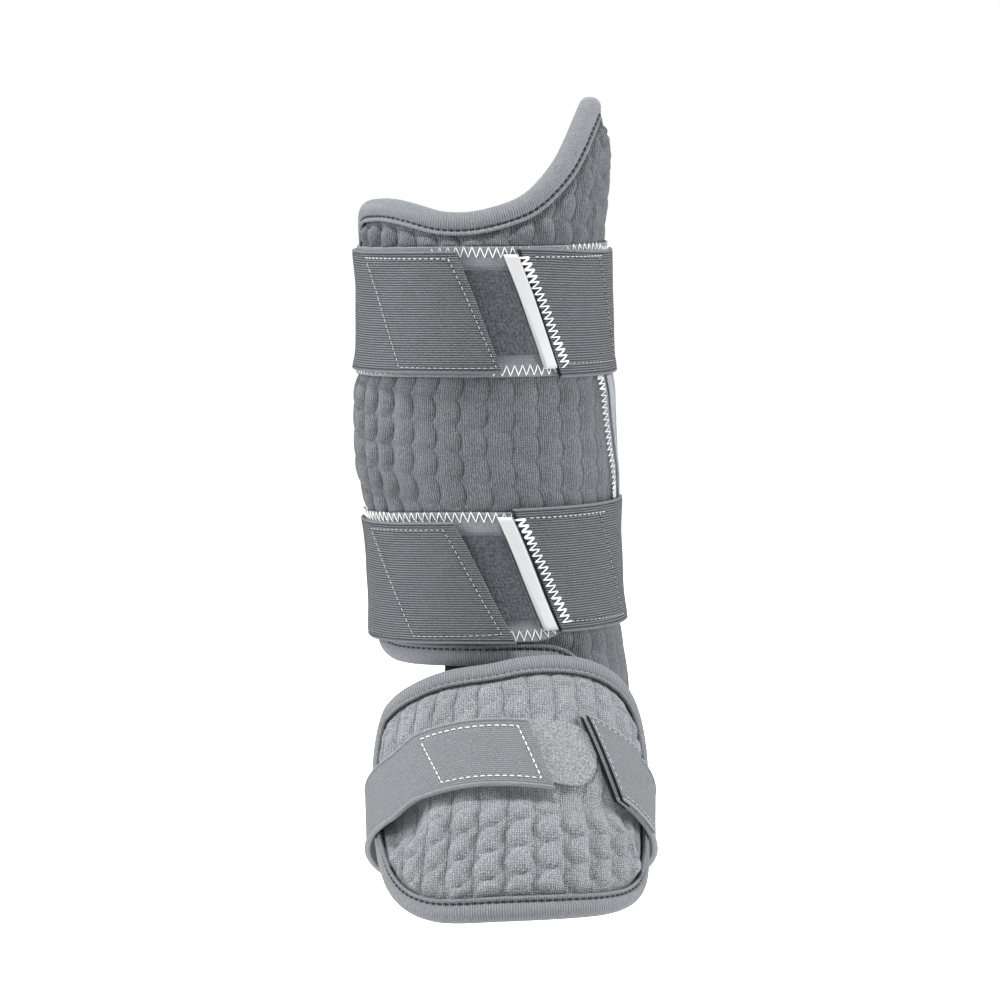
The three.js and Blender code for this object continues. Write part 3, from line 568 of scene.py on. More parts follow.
def shinRelief(flat, away, around):
    # Scales that stand higher towards the sides, puckers that fade away from the
    # binding, and nothing under the bands and the side strip
    turn, height = flat[..., 0] / shinScale, flat[..., 1]
    cells, puff = scaleCells(flat[..., 0], height, shinQuilt)
    amount = shinQuilt["puff"] + (shinQuilt["rightPuff"] - shinQuilt["puff"]) * ramp(turn, 20, 30)
    amount = amount + (shinQuilt["leftPuff"] - shinQuilt["puff"]) * ramp(-turn, 28, 25)
    amount = amount + shinQuilt["wingPuff"] * ramp(height, 84, 10)
    amount = amount * (1 - 0.6 * ramp(np.abs(turn + 4), 68, 14))  # the outline stays even
    raised = puff * amount
    raised += 0.35 * np.sin(around / 0.95 + 1.6 * np.sin(around / 7.3)) * bell(away, 6, 4)
    crumple = ramp(turn, 56, 12) * ramp(height, 94, 14) * (1 - 0.85 * ramp(turn, 72, 10))
    raised += crumple * 0.8 * np.sin(height / 1.9 + 1.5 * np.sin(turn / 7)) * np.cos(turn / 11)
    raised += shinQuilt["wingBulge"] * ramp(turn, 66, 14) * bell(height, 130, 9)
    fromSeam = np.sin(around / 1.9 + 1.4 * np.sin(around / 6.1)) * bell(away, 9, 8)
    onWing = ramp(turn, 46, 14) * ramp(height, 90, 12) * (1 - 0.85 * ramp(turn, 74, 10))
    raised += 1.1 * fromSeam * onWing
    under = np.zeros_like(turn)
    for band in bands.values():
        off = np.maximum(height - bandHeight(band, turn, 1), bandHeight(band, turn, 0) - height)
        under = np.maximum(under, 1 - ramp(off, -1, 2))
    share = (height - sideBottom) / (sideTop - sideBottom)
    beside = smooth((turn - tableCurve(sideSeam, 1, share) + 4) / 3) * (share > -0.04) * (share < 1.04)
    return mix(mix(raised, -0.3, under), 0.3, beside), cells

shinPad = paddedWall("shin_quilt", shinQuilt, shinEdge, shinSides, shinSurface, shinRelief,
                     [cloths["shinKnit"], cloths["lining"]])
keep(shinPad, "shin_quilt", "shin_shell")

footQuilt = {
    "across": 200, "down": 156, "rim": 6.0, "rise": 6.0,
    "cellWidth": 11.2, "cellHeight": 11.6, "bow": 0.9, "stagger": 0.27, "waver": 0.9, "puff": 1.0, "toePuff": 2.0,
    "flatShare": 0.2, "domes": [(0.0, 0.45, 0.37, 0.48, 0.49, 1.3), (0.5, 0.88, 0.28, 0.22, 0.3, 0.5)],
}

def footRelief(flat, away, around):
    # Scales in columns that fan out towards the toe and stand higher there, puckers
    # at the binding, and a flat place under the loop patch
    x, along = flat[..., 0], flat[..., 1]
    fan = x / (0.86 + 0.26 * along / foot["length"])
    cells, puff = scaleCells(fan + 3, along, footQuilt)
    raised = puff * mix(footQuilt["puff"], footQuilt["toePuff"], ramp(along, 48, 30))
    raised += 0.5 * np.sin(around / 1.15 + 1.9 * np.sin(around / 9.1)) * bell(away, 6, 4.5)
    turn = x / footScale
    patch = (1 - ramp(np.abs(along - 42.3), 13, 3)) * (1 - ramp(turn, 34, 4)) * ramp(turn, -20, 4)
    strap = 1 - ramp(np.abs(along - 49), 17, 5)
    raised = mix(raised, raised * 0.5 - 0.2, strap)
    # pressed in under the strap, most at its two sides
    hollow = ramp(-turn, 32, 16) * np.exp(-(((along - 65) / 13) ** 4)) + 0.5 * ramp(turn, 56, 10) * bell(along, 72, 8)
    hollow = np.maximum(hollow, 0.35 * bell(along, 62, 6))
    raised = raised * (1 - 0.7 * hollow) - 6 * hollow
    return mix(raised, -0.1, patch), cells

footPad = paddedWall("foot_quilt", footQuilt, footEdge, footSides, footSurface, footRelief,
                     [cloths["footKnit"], cloths["lining"]])
keep(footPad, "foot_quilt", "foot_guard")
print("padded walls made")

# Edge bindings

tape = {
    "thickness": 1.4, "cover": 6.0, "roll": 2.6, "slack": 0.6, "step": 1.0,
    # out past the padded edge, and share of the half thickness from the middle
    "front": [(-6.4, 0.72), (-7.0, 0.86), (-7.1, 1.0), (-6.8, 1.11), (-6.3, 1.15), (-5.8, 1.1), (-5.5, 1.0),
              (-5.25, 0.9), (-4.95, 0.86), (-4.6, 0.88), (-4.2, 0.96), (-3.6, 1.03), (-2.8, 1.1), (-1.8, 1.13),
              (-0.8, 1.12), (0.2, 1.05), (1.0, 0.93), (1.7, 0.75), (2.2, 0.53), (2.5, 0.28)],
    "seam": 4.9, "seamShare": 0.87,  # the groove's place inside the edge, and its share of the half thickness
    "back": [(2.45, -0.33), (2.0, -0.6), (1.4, -0.8), (0.6, -0.94), (-0.3, -1.0), (-1.6, -1.0), (-3.2, -1.0),
             (-4.8, -1.0), (-6.0, -0.98), (-6.3, -0.8)],
}

def rolledMean(values, reach):
    # Mean of each place and its neighbours round a closed line
    return sum(np.roll(values, k, 0) for k in range(-reach, reach + 1)) / (2 * reach + 1)

def foldedTape(name, edge, surface, material):
    # A folded profile carried round the edge. Places inside the edge follow the
    # wall's surface; places outside stand square to it.
    half = pad["rimWall"] / 2 + tape["slack"]
    outside = half + tape["thickness"]
    middleLift = -pad["rimSink"] - pad["rimWall"] / 2
    count = int(len(edge) * edgeStep / tape["step"])
    closed = np.concatenate([edge, edge[:1]])
    line = walk(closed, np.linspace(0, lengthOf(closed), count + 1)[:-1])
    run = np.roll(line, -1, 0) - np.roll(line, 1, 0)
    area = (line[:, 0] * np.roll(line[:, 1], -1) - np.roll(line[:, 0], -1) * line[:, 1]).sum()
    inward = np.stack([-run[:, 1], run[:, 0]], -1) * np.sign(area)
    inward = rolledMean(unit(inward), 2)
    middles = surface(line, middleLift)
    normal = unit(surface(line, middleLift + 1) - middles)
    along = np.roll(middles, -1, 0) - np.roll(middles, 1, 0)
    outward = unit(np.cross(along, normal))
    outward *= np.sign(((middles - surface(line + inward, middleLift)) * outward).sum(1))[:, None]
    section = (
        [(out, side * outside) for out, side in tape["front"]]
        + [(tape["roll"], 0.0)] + [(out, side * outside) for out, side in tape["back"]]
        + [(-6.0, -half), (-3.0, -half), (0.4, -half), (0.4, half), (-3.0, half), (-6.0, half)]
    )
    rings = []
    for out, side in section:
        if out < 0:
            rings.append(surface(line - inward * out, middleLift + side))
        else:
            rings.append(middles + normal * side + outward * out)
    points = np.stack(rings, 1)
    m = len(section)
    index = np.arange(count * m).reshape(count, m)
    index = np.concatenate([index, index[:1]])
    index = np.concatenate([index, index[:, :1]], 1)
    round3d = np.linalg.norm(np.roll(middles, -1, 0) - middles, axis=1)
    u = np.concatenate([[0], np.cumsum(round3d)])
    u *= round(u[-1]) / u[-1]  # a whole number of 1 mm ribs, so that the ends meet
    v = np.arange(m + 1) * 0.7
    grid = np.stack(np.broadcast_arrays(u[:, None], v[None]), -1) * mm
    faces, uvs = turnedOut(points.reshape(-1, 3), [gridQuads(index)], {"flat": [gridCorners(grid)]})
    piece = makeMesh(name, points.reshape(-1, 3), faces, uvs, [material])
    return piece, line + inward * tape["seam"], outside * tape["seamShare"] + middleLift

shinTape, shinSeam, seamLift = foldedTape("shin_edge_tape", shinEdge, shinSurface, cloths["shinTape"])
keep(shinTape, "shin_binding", "shin_binding")
footTape, footSeam, _ = foldedTape("foot_edge_tape", footEdge, footSurface, cloths["footTape"])
keep(footTape, "foot_binding", "foot_binding")
print("bindings made")

# Ribbons: bands, patches, straps and tabs

def ribbon(name, place, stations, width, thickness, material, shape=None):
    # A flat strap with rounded edges. place(u, v, rise) gives points for shares u
    # along and v across, and rise in mm from its underside. Near an edge the
    # half thickness is h sqrt(1 - (1 - d / r)^2), and the same at both ends.
    shape = {"across": 40, "radius": 0.9, "length": 100.0, **(shape or {})}
    inner = np.linspace(shape["radius"] * 1.2, width - shape["radius"] * 1.2, shape["across"])
    edge = np.array([0, 0.08, 0.3, 0.65]) * shape["radius"]
    across = np.concatenate([edge, inner, (width - edge)[::-1]])

    def rounded(distance):
        return np.sqrt(np.clip(1 - (1 - np.clip(distance / shape["radius"], 0, 1)) ** 2, 0.02, 1))

    u = np.asarray(stations)[:, None]
    v = (across / width)[None]
    ends = rounded(np.minimum(u, 1 - u) * shape["length"])
    full = rounded(np.minimum(across, width - across))[None] * ends
    raised = shape["raise"](u, v) * full if "raise" in shape else 0
    top = place(u, v, thickness * (0.5 + 0.5 * full) + raised)
    bottom = place(u, v, thickness * (0.5 - 0.5 * full))
    points = np.concatenate([top, bottom[:, ::-1]], 1)
    n, m = points.shape[:2]
    index = np.arange(n * m).reshape(n, m)
    body = gridQuads(np.concatenate([index, index[:, :1]], 1))
    k = m // 2
    caps = [np.stack([row[:k - 1], row[1:k], row[m - 2:k - 1:-1], row[m - 1:k:-1]], -1)
            for row in (index[0], index[-1])]
    caps = [caps[0], caps[1][:, ::-1]]
    run = np.concatenate([[0], np.cumsum(np.linalg.norm(np.diff(top[:, len(across) // 2], axis=0), axis=1))])
    vFlat = np.concatenate([across, across[::-1], across[:1]])
    grid = np.stack(np.broadcast_arrays(run[:, None], vFlat[None]), -1) * mm
    fromEdge = np.minimum(vFlat, width - vFlat)
    rim = np.stack(np.broadcast_arrays(fromEdge[None], run[:, None]), -1) * mm
    ends = [np.zeros((len(caps[0]), 4, 2)), np.zeros((len(caps[1]), 4, 2))]
    uvs = {"flat": [gridCorners(grid), *ends], "rim": [gridCorners(rim), *ends]}
    flatPoints = points.reshape(-1, 3)
    faces, uvs = turnedOut(flatPoints, [body, *caps], uvs)
    return makeMesh(name, flatPoints, faces, uvs, [material])

def withEnds(stations, length, radius=0.9):
    # Extra stations close to both ends, so that they can be rounded
    near = np.array([0, 0.08, 0.3, 0.65, 1.1]) * radius / length
    middle = stations[(stations > near[-1] * 1.2) & (stations < 1 - near[-1] * 1.2)]
    return np.concatenate([near, middle, (1 - near)[::-1]])

def slanted(turn, slant, share):
    return turn + slant * (0.5 - share)

def lineDistance(x, y, line):
    # Distance to a line of straight runs: the least of those to its segments
    best = np.full(np.broadcast(x, y).shape, 1e9)
    for (ax, ay), (bx, by) in zip(line[:-1], line[1:]):
        dx, dy = bx - ax, by - ay
        t = np.clip(((x - ax) * dx + (y - ay) * dy) / (dx * dx + dy * dy), 0, 1)
        best = np.minimum(best, np.hypot(x - ax - t * dx, y - ay - t * dy))
    return best

def threads(name, runs, normals, radius, material, sides=6):
    # Each run of places becomes a round thread with tapered ends. Its ring is
    # centre + r (cos a x normal + sin a x side), with side square to run and normal.
    tangent = unit(np.gradient(runs, axis=1))
    side = unit(np.cross(tangent, normals))
    up = np.cross(side, tangent)
    angle = np.arange(sides) / sides * 2 * math.pi
    k, n = runs.shape[:2]
    share = np.linspace(0, 1, n)
    taper = np.clip(1.25 * (1 - np.abs(2 * share - 1) ** 6), 0.45, 1)[None, :, None, None]
    taper = taper * np.reshape(radius, (-1, 1, 1, 1))
    ring = up[:, :, None] * np.cos(angle)[:, None] + side[:, :, None] * np.sin(angle)[:, None]
    points = (runs[:, :, None] + ring * taper).reshape(-1, 3)
    index = np.arange(k * n * sides).reshape(k, n, sides)
    closed = np.concatenate([index, index[:, :, :1]], 2)
    quads = np.concatenate([gridQuads(one) for one in closed])
    faces = [quads, index[:, 0, ::-1], index[:, -1]]
    uvs = {"flat": [np.zeros((len(block), block.shape[1], 2)) for block in faces]}
    faces, uvs = turnedOut(points, faces, uvs)
    return makeMesh(name, points, faces, uvs, [material])

def onSurface(surface, flat, lift):
    # Points on a surface and the directions away from it
    base = surface(flat, lift)
    return base, surface(flat, lift + 1) - base

def dashes(surface, line, stitch):
    # Stitches of one length at one pitch; each rises by arch x sin(pi t) between its holes
    line = np.asarray(line, float)
    total = lengthOf(line)
    count = max(1, int((total - stitch["length"]) / stitch["pitch"]) + 1)
    t = np.linspace(0, 1, 5)
    where = (np.arange(count) * stitch["pitch"])[:, None] + t * stitch["length"]
    return onSurface(surface, walk(line, where), stitch["lift"] + stitch["arch"] * np.sin(math.pi * t))

def zigzag(surface, line, stitch):
    # Legs between holes that lie alternately half the width to each side of a line
    line = np.asarray(line, float)
    total = lengthOf(line)
    count = max(2, round(total / (stitch["pitch"] / 2)))
    middle = walk(line, np.linspace(0, total, count + 1))
    run = unit(np.gradient(middle, axis=0))
    beside = np.stack([-run[:, 1], run[:, 0]], -1)
    uneven = 1 + 0.06 * np.sin(np.arange(count + 1) * 2.7)
    holes = middle + beside * (stitch["width"] / 2 * uneven * np.where(np.arange(count + 1) % 2, 1, -1))[:, None]
    t = np.linspace(0, 1, 6)
    flat = mix(holes[:-1, None], holes[1:, None], t[None, :, None])
    return onSurface(surface, flat, stitch["lift"] + stitch["arch"] * np.sin(math.pi * t))

def between(line, stitch):
    # The line's rest from the first gap on, and a stitch as long as that gap
    line = np.asarray(line, float)
    places = np.linspace(stitch["length"] - 0.1, lengthOf(line), 80)
    return walk(line, places), {**stitch, "length": stitch["pitch"] - stitch["length"] + 0.2, "arch": -0.1,
                                "lift": stitch["lift"] + 0.08}

def together(runs):
    return np.concatenate([run[0] for run in runs]), np.concatenate([run[1] for run in runs])

def sew(name, slotName, sewn, radius, material):
    # One piece of thread from the runs of several lines
    return keep(threads(name, *together(sewn), radius, material), slotName)

def shinFlat(places):
    # (turn, height) to flat millimetres
    places = np.asarray(places, float)
    return np.stack([places[:, 0] * shinScale, places[:, 1]], -1)

elastic = {
    "upper": {"pad": [(-59.5, 82.6), (-14.2, 82.9), (5.0, 37.6), (-38.5, 37.4), (-59.5, 82.6)],
              "right": [[(23.5, 83.4), (66, 82.6)], [(38.8, 38.6), (78, 37.6)], [(62.5, 82.4), (80.5, 38.0)]],
              "satin": [(18.0, 84.0), (37.6, 37.6)],
              "topRow": [(-89, -2.2), (-30, -2.0), (-18, 0.2), (20, 0.2), (30, -1.4), (40, -0.8), (48, 0.9),
                         (66, 0.9), (74, -1.5), (84, 0.3), (99, 0.3)],
              "bottomRow": [(-89, 0.2), (-50, 0.4), (-34, 1.8), (-5, 1.8), (6, 0.2), (28, 0.2), (40, 2.0), (99, 2.0)]},
    "lower": {"pad": [(-63.5, -31.5), (-20.4, -30.2), (1.6, -73.6), (-38, -75.4), (-63.5, -31.5)],
              "right": [[(17.2, -25.4), (60, -25.3)], [(34, -69.6), (78, -70.6)], [(55, -25.6), (74.5, -70.2)]],
              "satin": [(12.6, -25.2), (32.2, -70.2)],
              "topRow": [(-89, 0.6), (-20, 0.6), (10, 0.3), (20, -2.2), (99, -2.2)],
              "bottomRow": [(-89, 2.4), (0, 2.2), (6, 0.3), (18, 0.3), (26, 2.4), (34, 7.0), (99, 8.0)]},
}
stitches = {
    "band": {"pitch": 3.4, "width": 4.5, "lift": 0.05, "arch": 0.35, "radius": 0.19},
    "satin": {"pitch": 2.8, "width": 4.3, "lift": 0.05, "arch": 0.4, "radius": 0.28},
    "elastic": {"pitch": 2.5, "length": 1.7, "lift": -0.12, "arch": 0.3, "radius": 0.19},
    "tape": {"pitch": 3.0, "length": 2.0, "lift": 0.12, "arch": 0.3, "radius": 0.4},
    "web": {"pitch": 2.75, "length": 1.9, "lift": -0.1, "arch": 0.3, "radius": 0.25},
}

for bandName, band in bands.items():
    sewing = elastic[bandName]
    # smooth knit band round the shell, a little fuller between its zigzag rows
    panelSpan = (panelTo - panelFrom) * shinScale

    def panelPlace(u, v, rise):
        turn = mix(panelFrom, panelTo, u)
        return legPoint(turn, bandHeight(band, turn, v), panelBase + rise)

    panel = ribbon(f"{bandName}_band", panelPlace, withEnds(np.linspace(0, 1, 150), panelSpan, 0.5), 2 * bandHalf,
                   pad["panel"], cloths["bandKnit"], {"across": 36, "radius": 0.5, "length": panelSpan})
    keep(panel, "band", f"{bandName}_panel")

    # loop patch between the tab and the pull tab, also under the tab
    patchWidth, patchEnd = 36, 34

    def patchPlace(u, v, rise):
        share = 0.5 + (v - 0.5) * patchWidth / strapWidth
        right = slanted(band["pullTurn"], sewnSlant, share) - pad["gap"] / shinScale
        turn = mix(-patchEnd, right, u)
        height = band["middle"] + sagAt(band, turn) + (v - 0.5) * patchWidth
        return legPoint(turn, height, panelTop + pad["gap"] + rise)

    patchSpan = (patchEnd + band["pullTurn"]) * shinScale

    def pile(u, v, span=patchSpan):
        return 0.12 * np.sin(u * span * 5.1 + 3 * np.sin(v * 31)) * np.sin(v * patchWidth * 4.7 + 2.5 * np.sin(u * 23))

    patch = ribbon(f"{bandName}_loop_pile", patchPlace, withEnds(np.linspace(0, 1, 80), patchSpan, 0.5), patchWidth,
                   pad["patch"], cloths["shinPile"], {"across": 56, "radius": 0.5, "length": patchSpan, "raise": pile})
    keep(patch, "shin_loop", f"{bandName}_loop_patch")

    # moulded strip on the strap's sewn edge: crowned, blank, with soft corners
    pullLength, pullWidth = 48, 6.6

    def pullPlace(u, v, rise):
        share = 0.5 + (0.5 - u) * pullLength / strapWidth
        turn = slanted(band["pullTurn"], sewnSlant, share) + pullWidth / shinScale * v
        return legPoint(turn, (band["middle"] + band["start"]) / 2 + (0.5 - u) * pullLength, strapBase + rise)

    def pullFace(u, v):
        # A chamfer 1.1 mm wide round a flat face
        d = np.minimum(np.minimum(v, 1 - v) * pullWidth, np.minimum(u, 1 - u) * pullLength)
        return 0.7 * (ramp(d, 0.25, 0.9) - 0.6)

    pull = ribbon(f"{bandName}_pull_strip", pullPlace, withEnds(np.linspace(0, 1, 60), pullLength, 0.9), pullWidth,
                  pad["tab"], whiteRubber, {"across": 26, "radius": 0.6, "length": pullLength, "raise": pullFace})
    keep(pull, "pull_tab", f"{bandName}_pull_tab")

    # the elastic, from its sewn edge round the back of the leg to the slanted tab
    sewnTurn = band["pullTurn"] + (pullWidth + pad["gap"]) / shinScale

    def strapTurn(u, v):
        return mix(slanted(sewnTurn, sewnSlant, v), 360 + slanted(band["tabTurn"], band["tabSlant"], v), u)

    def strapHeight(turn, v):
        # Its edges spread a little where it is sewn on, by the tables sewnFoot and sewnTop
        spread = mix(tableCurve(band["sewnFoot"], 1, turn), tableCurve(band["sewnTop"], 1, turn), v)
        middle = mix(band["start"], band["end"], ramp(turn, 100, 160)) + sagAt(band, turn)
        return middle + (v - 0.5) * strapWidth + spread

    def strapLift(turn):
        return mix(strapBase, tabBase, ramp(turn, 300, 24))

    padLine = shinFlat([(turn, height + 0.5 * sagAt(band, turn)) for turn, height in sewing["pad"]])
    rightLines = [shinFlat(line) for line in sewing["right"]]

    def strapRaise(u, v):
        # Thread pulls the elastic down: -0.4 exp(-(d / 0.8)^2) at a distance d from it
        turn = strapTurn(u, v)
        height = strapHeight(turn, v)
        x = np.where(turn > 180, turn - 360, turn) * shinScale
        near = np.minimum.reduce([lineDistance(x, height, line) for line in [padLine, *rightLines]])
        ripple = 0.14 * np.sin(turn * 0.31 + 2 * np.sin(v * 5)) * np.sin(v * 7.3 + 0.6)
        fromEdge = np.minimum(v, 1 - v) * strapWidth
        return ripple - 0.4 * bell(near, 0, 0.8) - 0.3 * bell(fromEdge, 1.35, 0.4)

    def strapPlace(u, v, rise):
        turn = strapTurn(u, v)
        return legPoint(turn, strapHeight(turn, v), strapLift(turn) + rise)

    strapSpan = 335.0
    # closer together in front, where they show
    stations = np.concatenate([np.linspace(0, 0.27, 110), np.linspace(0.27, 0.72, 46)[1:-1],
                               np.linspace(0.72, 1, 118)])
    strap = ribbon(f"{bandName}_elastic", strapPlace, withEnds(stations, strapSpan), strapWidth, pad["strap"],
                   cloths["shinElastic"], {"across": 62, "length": strapSpan, "raise": strapRaise})
    keep(strap, "shin_elastic", f"{bandName}_strap")

    def edgeStripPlace(u, v, rise):
        turn = slanted(band["pullTurn"], sewnSlant, 1 - u) + (pullWidth - 0.3 + 0.8 * v) / shinScale
        return legPoint(turn, strapHeight(turn, mix(0.986, 0.014, u)), strapBase + rise)

    # black strip along the sewn edge, beside the pull tab: partly the strap's black edge, partly painted shade in the
    # gap between strap and pull tab
    edgeStripAndGapShade = ribbon(f"{bandName}_edge_strip_and_gap_shade", edgeStripPlace, withEnds(np.linspace(0, 1, 60), 49, 0.3), 0.8,
                  pad["strap"] + 0.35, cloths["blackElastic"], {"across": 6, "radius": 0.38, "length": 49})
    keep(edgeStripAndGapShade, "pull_tab")

    # thread: zigzags that hold the band, satin zigzag on the elastic, and its dashes
    rowTurns = np.linspace(panelFrom + 1, panelTo - 1, 90)
    rowMiddle = band["middle"] + sagAt(band, rowTurns)
    rows = [np.stack([rowTurns, rowMiddle + side * (bandHalf - 2.6) + tableCurve(sewing[key], 1, rowTurns)], -1)
            for key, side in (("topRow", 1), ("bottomRow", -1))]
    bandStitch = {**stitches["band"], "lift": panelTop + stitches["band"]["lift"]}
    sew(f"{bandName}_band_zigzag", "band", [zigzag(shinSurface, shinFlat(row), bandStitch) for row in rows],
        bandStitch["radius"], whiteThread)
    strapTop = strapBase + pad["strap"]
    satin = {**stitches["satin"], "lift": strapTop + stitches["satin"]["lift"]}
    satinLine = np.linspace(*shinFlat(sewing["satin"]), 30)
    total = lengthOf(satinLine)
    legs = round(total / satin["pitch"] * 2)
    # sewn twice over eight legs at each end
    doubled = [walk(satinLine, 0.42 + np.linspace(start, end, 12) / legs * total)
               for start, end in ((0, 8), (legs - 8 - legs % 2, legs))]
    sew(f"{bandName}_satin_zigzag", "shin_elastic",
        [zigzag(shinSurface, line, satin) for line in [satinLine, *doubled]], satin["radius"], whiteThread)
    tabStitch = {**stitches["elastic"], "lift": tabBase + pad["strap"] + stitches["elastic"]["lift"]}
    rightStitch = {**stitches["elastic"], "lift": strapTop + stitches["elastic"]["lift"]}
    sewn = [dashes(shinSurface, padLine, tabStitch)] + [dashes(shinSurface, line, rightStitch) for line in rightLines]
    runs, normals = together(sewn)
    radii = np.repeat([0.2, 0.2, 0.2, 0.1], [len(run[0]) for run in sewn])
    # the row along the top is thicker than the rest
    onTop = runs[:, :, 2].mean(1) > runs[:, :, 2].max() - 2.2
    radii = np.where(onTop, radii * 1.3, radii * 0.78)
    keep(threads(f"{bandName}_elastic_stitches", runs, normals, radii, greyThread), "shin_elastic")
    # black thread in the gaps between the stitches: painted shade in the stitch holes
    holes = [between(padLine, tabStitch)] + [between(line, rightStitch) for line in rightLines]
    sew(f"{bandName}_elastic_hole_shade", "shin_elastic", [dashes(shinSurface, *hole) for hole in holes], 0.16, blackThread)
print("bands and elastics made")

# Side strip with its seam

seamShares = np.linspace(0, 1, 40)
seamLine = np.stack([tableCurve(sideSeam, 1, seamShares) * shinScale, mix(sideBottom, sideTop, seamShares)], -1)

def sidePlace(u, v, rise):
    start = tableCurve(sideSeam, 1, v)
    dip = 0.75 * np.exp(-((u * 26 / 2.2) ** 2))
    return legPoint(mix(start, panelTo + 1, u), mix(sideBottom, sideTop, v), panelBase - dip + rise)

sidePanel = ribbon("side_strip", sidePlace, withEnds(np.linspace(0, 1, 30), 26, 0.4), sideTop - sideBottom,
                   pad["panel"], cloths["bandKnit"], {"across": 50, "radius": 0.4, "length": 26})
keep(sidePanel, "band", "side_panel")

def foldPlace(u, v, rise):
    share = mix(0.02, 0.98, u)
    wide = 1.5 + 4.5 * ramp(share, 0.45, 0.5)
    turn = tableCurve(sideSeam, 1, share) + 4.2 + v * wide
    return legPoint(turn, mix(sideBottom, sideTop, share), panelTop + 0.05 + rise)

# the fold's lighter copy of the band knit is painted light
sideFold = ribbon("side_fold", foldPlace, withEnds(np.linspace(0, 1, 60), 56, 0.4), 3.0, 1.2, cloths["foldKnitPaintedLight"],
                  {"across": 8, "radius": 0.5, "length": 56})
keep(sideFold, "band")
seamStitch = {"pitch": 2.6, "width": 5.6, "lift": panelTop - 0.4, "arch": 0.3, "radius": 0.17}
clusterStitch = {**seamStitch, "pitch": 2.0, "width": 6.5}
clusters = [seamLine[:7], seamLine[-6:]]
sew("side_seam_zigzag", "band", [zigzag(shinSurface, seamLine, seamStitch)]
    + [zigzag(shinSurface, line, clusterStitch) for line in clusters], seamStitch["radius"], whiteThread)

# dark stitches in the groove of each binding
tapeStitch = {**stitches["tape"], "lift": seamLift + stitches["tape"]["lift"]}
for name, seam, surface, slotName in (("shin_tape_stitches", shinSeam, shinSurface, "shin_binding"),
                                      ("foot_tape_stitches", footSeam, footSurface, "foot_binding")):
    runs, normals = dashes(surface, np.concatenate([seam, seam[:1]]), tapeStitch)
    # on the foot they sink into the tape above a height of -150
    shown = np.ones(len(runs)) if surface is shinSurface else ramp(-runs[:, 2, 2], 150, 14)
    runs = runs - normals * (0.35 * (1 - shown))[:, None, None]
    keep(threads(name, runs, normals, mix(0.17, tapeStitch["radius"], shown), blackThread), slotName)
print("seams made")

# Foot strap, its patch and the elastic between the guards

footStrap = {
    "width": 32, "along": 45, "standoff": 1.0, "rightTurn": 38, "rightSlant": 17, "leftTurn": 12, "leftSlant": 11,
    "fold": 26,
    "route": [(25, 0.86), (50, 0.99), (66, 1.07), (88, 1.13), (180, 1.2), (272, 1.13), (304, 1.11), (322, 1.0),
              (345, 0.98), (380, 1.01)],  # turn, place along as a share
}
footTabBase = pad["gap"] + pad["patch"] + pad["gap"]

def footPatchPlace(u, v, rise):
    turn = mix(-16, 37, u)
    past = np.maximum(0, (turn - 24) / 13)
    half = 15 * np.sqrt(np.maximum(0.02, 1 - past * past))
    return footPoint(turn, footStrap["along"] * 0.94 + (v - 0.5) * 2 * half, pad["gap"] + rise)

def footPile(u, v):
    return 0.14 * np.sin(u * 51 * 5.1 + 3 * np.sin(v * 31)) * np.sin(v * 30 * 4.7 + 2.5 * np.sin(u * 23))

footPatch = ribbon("foot_loop_pile", footPatchPlace, withEnds(np.linspace(0, 1, 90), 51, 0.5), 30, pad["patch"],
                   cloths["footPile"], {"across": 52, "radius": 0.5, "length": 51, "raise": footPile})
keep(footPatch, "foot_loop", "foot_loop_patch")

def footStrapTurn(u, v):
    right = footStrap["rightTurn"] + footStrap["rightSlant"] * (v - 0.5)
    return mix(right, 360 + footStrap["leftTurn"] + footStrap["leftSlant"] * (v - 0.5), u)

def footStrapLift(turn, v):
    start, end = (footStrapTurn(np.array(u), v) for u in (0.0, 1.0))
    off = np.minimum(ramp(turn, start, 34), ramp(end - turn, 22, 40))
    return mix(footTabBase, footStrap["standoff"], off)

def footStrapAt(turn, v, rise):
    middle = tableCurve(footStrap["route"], 1, turn) * footStrap["along"]
    return footPoint(turn, middle + (v - 0.5) * footStrap["width"], footStrapLift(turn, v) + rise)

footPadLine = np.array([(-37.5, 0.13), (2.8, 0.13), (11.6, 0.87), (-27.8, 0.87), (-37.5, 0.13)])  # turn, share across

def footStrapPlace(u, v, rise):
    return footStrapAt(footStrapTurn(u, v), v, rise)

def footStrapRaise(u, v):
    # A rolled lower edge, 0.5 exp(-(d / 1.1)^2) high, and grooves under the thread
    turn = footStrapTurn(u, v) - 360
    near = lineDistance(turn * footScale, v * footStrap["width"], footPadLine * (footScale, footStrap["width"]))
    lower, upper = (1 - v) * footStrap["width"], v * footStrap["width"]
    edges = 0.8 * bell(lower, 0.9, 0.8) + 0.3 * bell(upper, 0.7, 0.5)
    return edges - 0.3 * bell(lower, 2.2, 0.5) - 0.3 * bell(near, 0, 0.8)

footSpan = 272.0
stations = np.concatenate([np.linspace(0, 0.2, 60), np.linspace(0.2, 0.68, 50)[1:-1], np.linspace(0.68, 1, 130)])
webbing = ribbon("foot_webbing", footStrapPlace, withEnds(stations, footSpan), footStrap["width"], pad["strap"],
                 cloths["footTwill"], {"across": 44, "length": footSpan, "raise": footStrapRaise})
keep(webbing, "foot_twill", "foot_strap")

def foldedTabPlace(u, v, rise):
    turn = footStrapTurn(np.zeros_like(u), v) + u * footStrap["fold"] / footScale
    return footStrapAt(turn + 0.95, v, pad["strap"] + 0.9 + rise)

foldedTab = ribbon("foot_webbing_fold", foldedTabPlace, withEnds(np.linspace(0, 1, 40), footStrap["fold"]),
                   footStrap["width"], pad["strap"] - 0.6, cloths["footTwill"], {"across": 44, "length": footStrap["fold"]})
keep(foldedTab, "foot_twill")

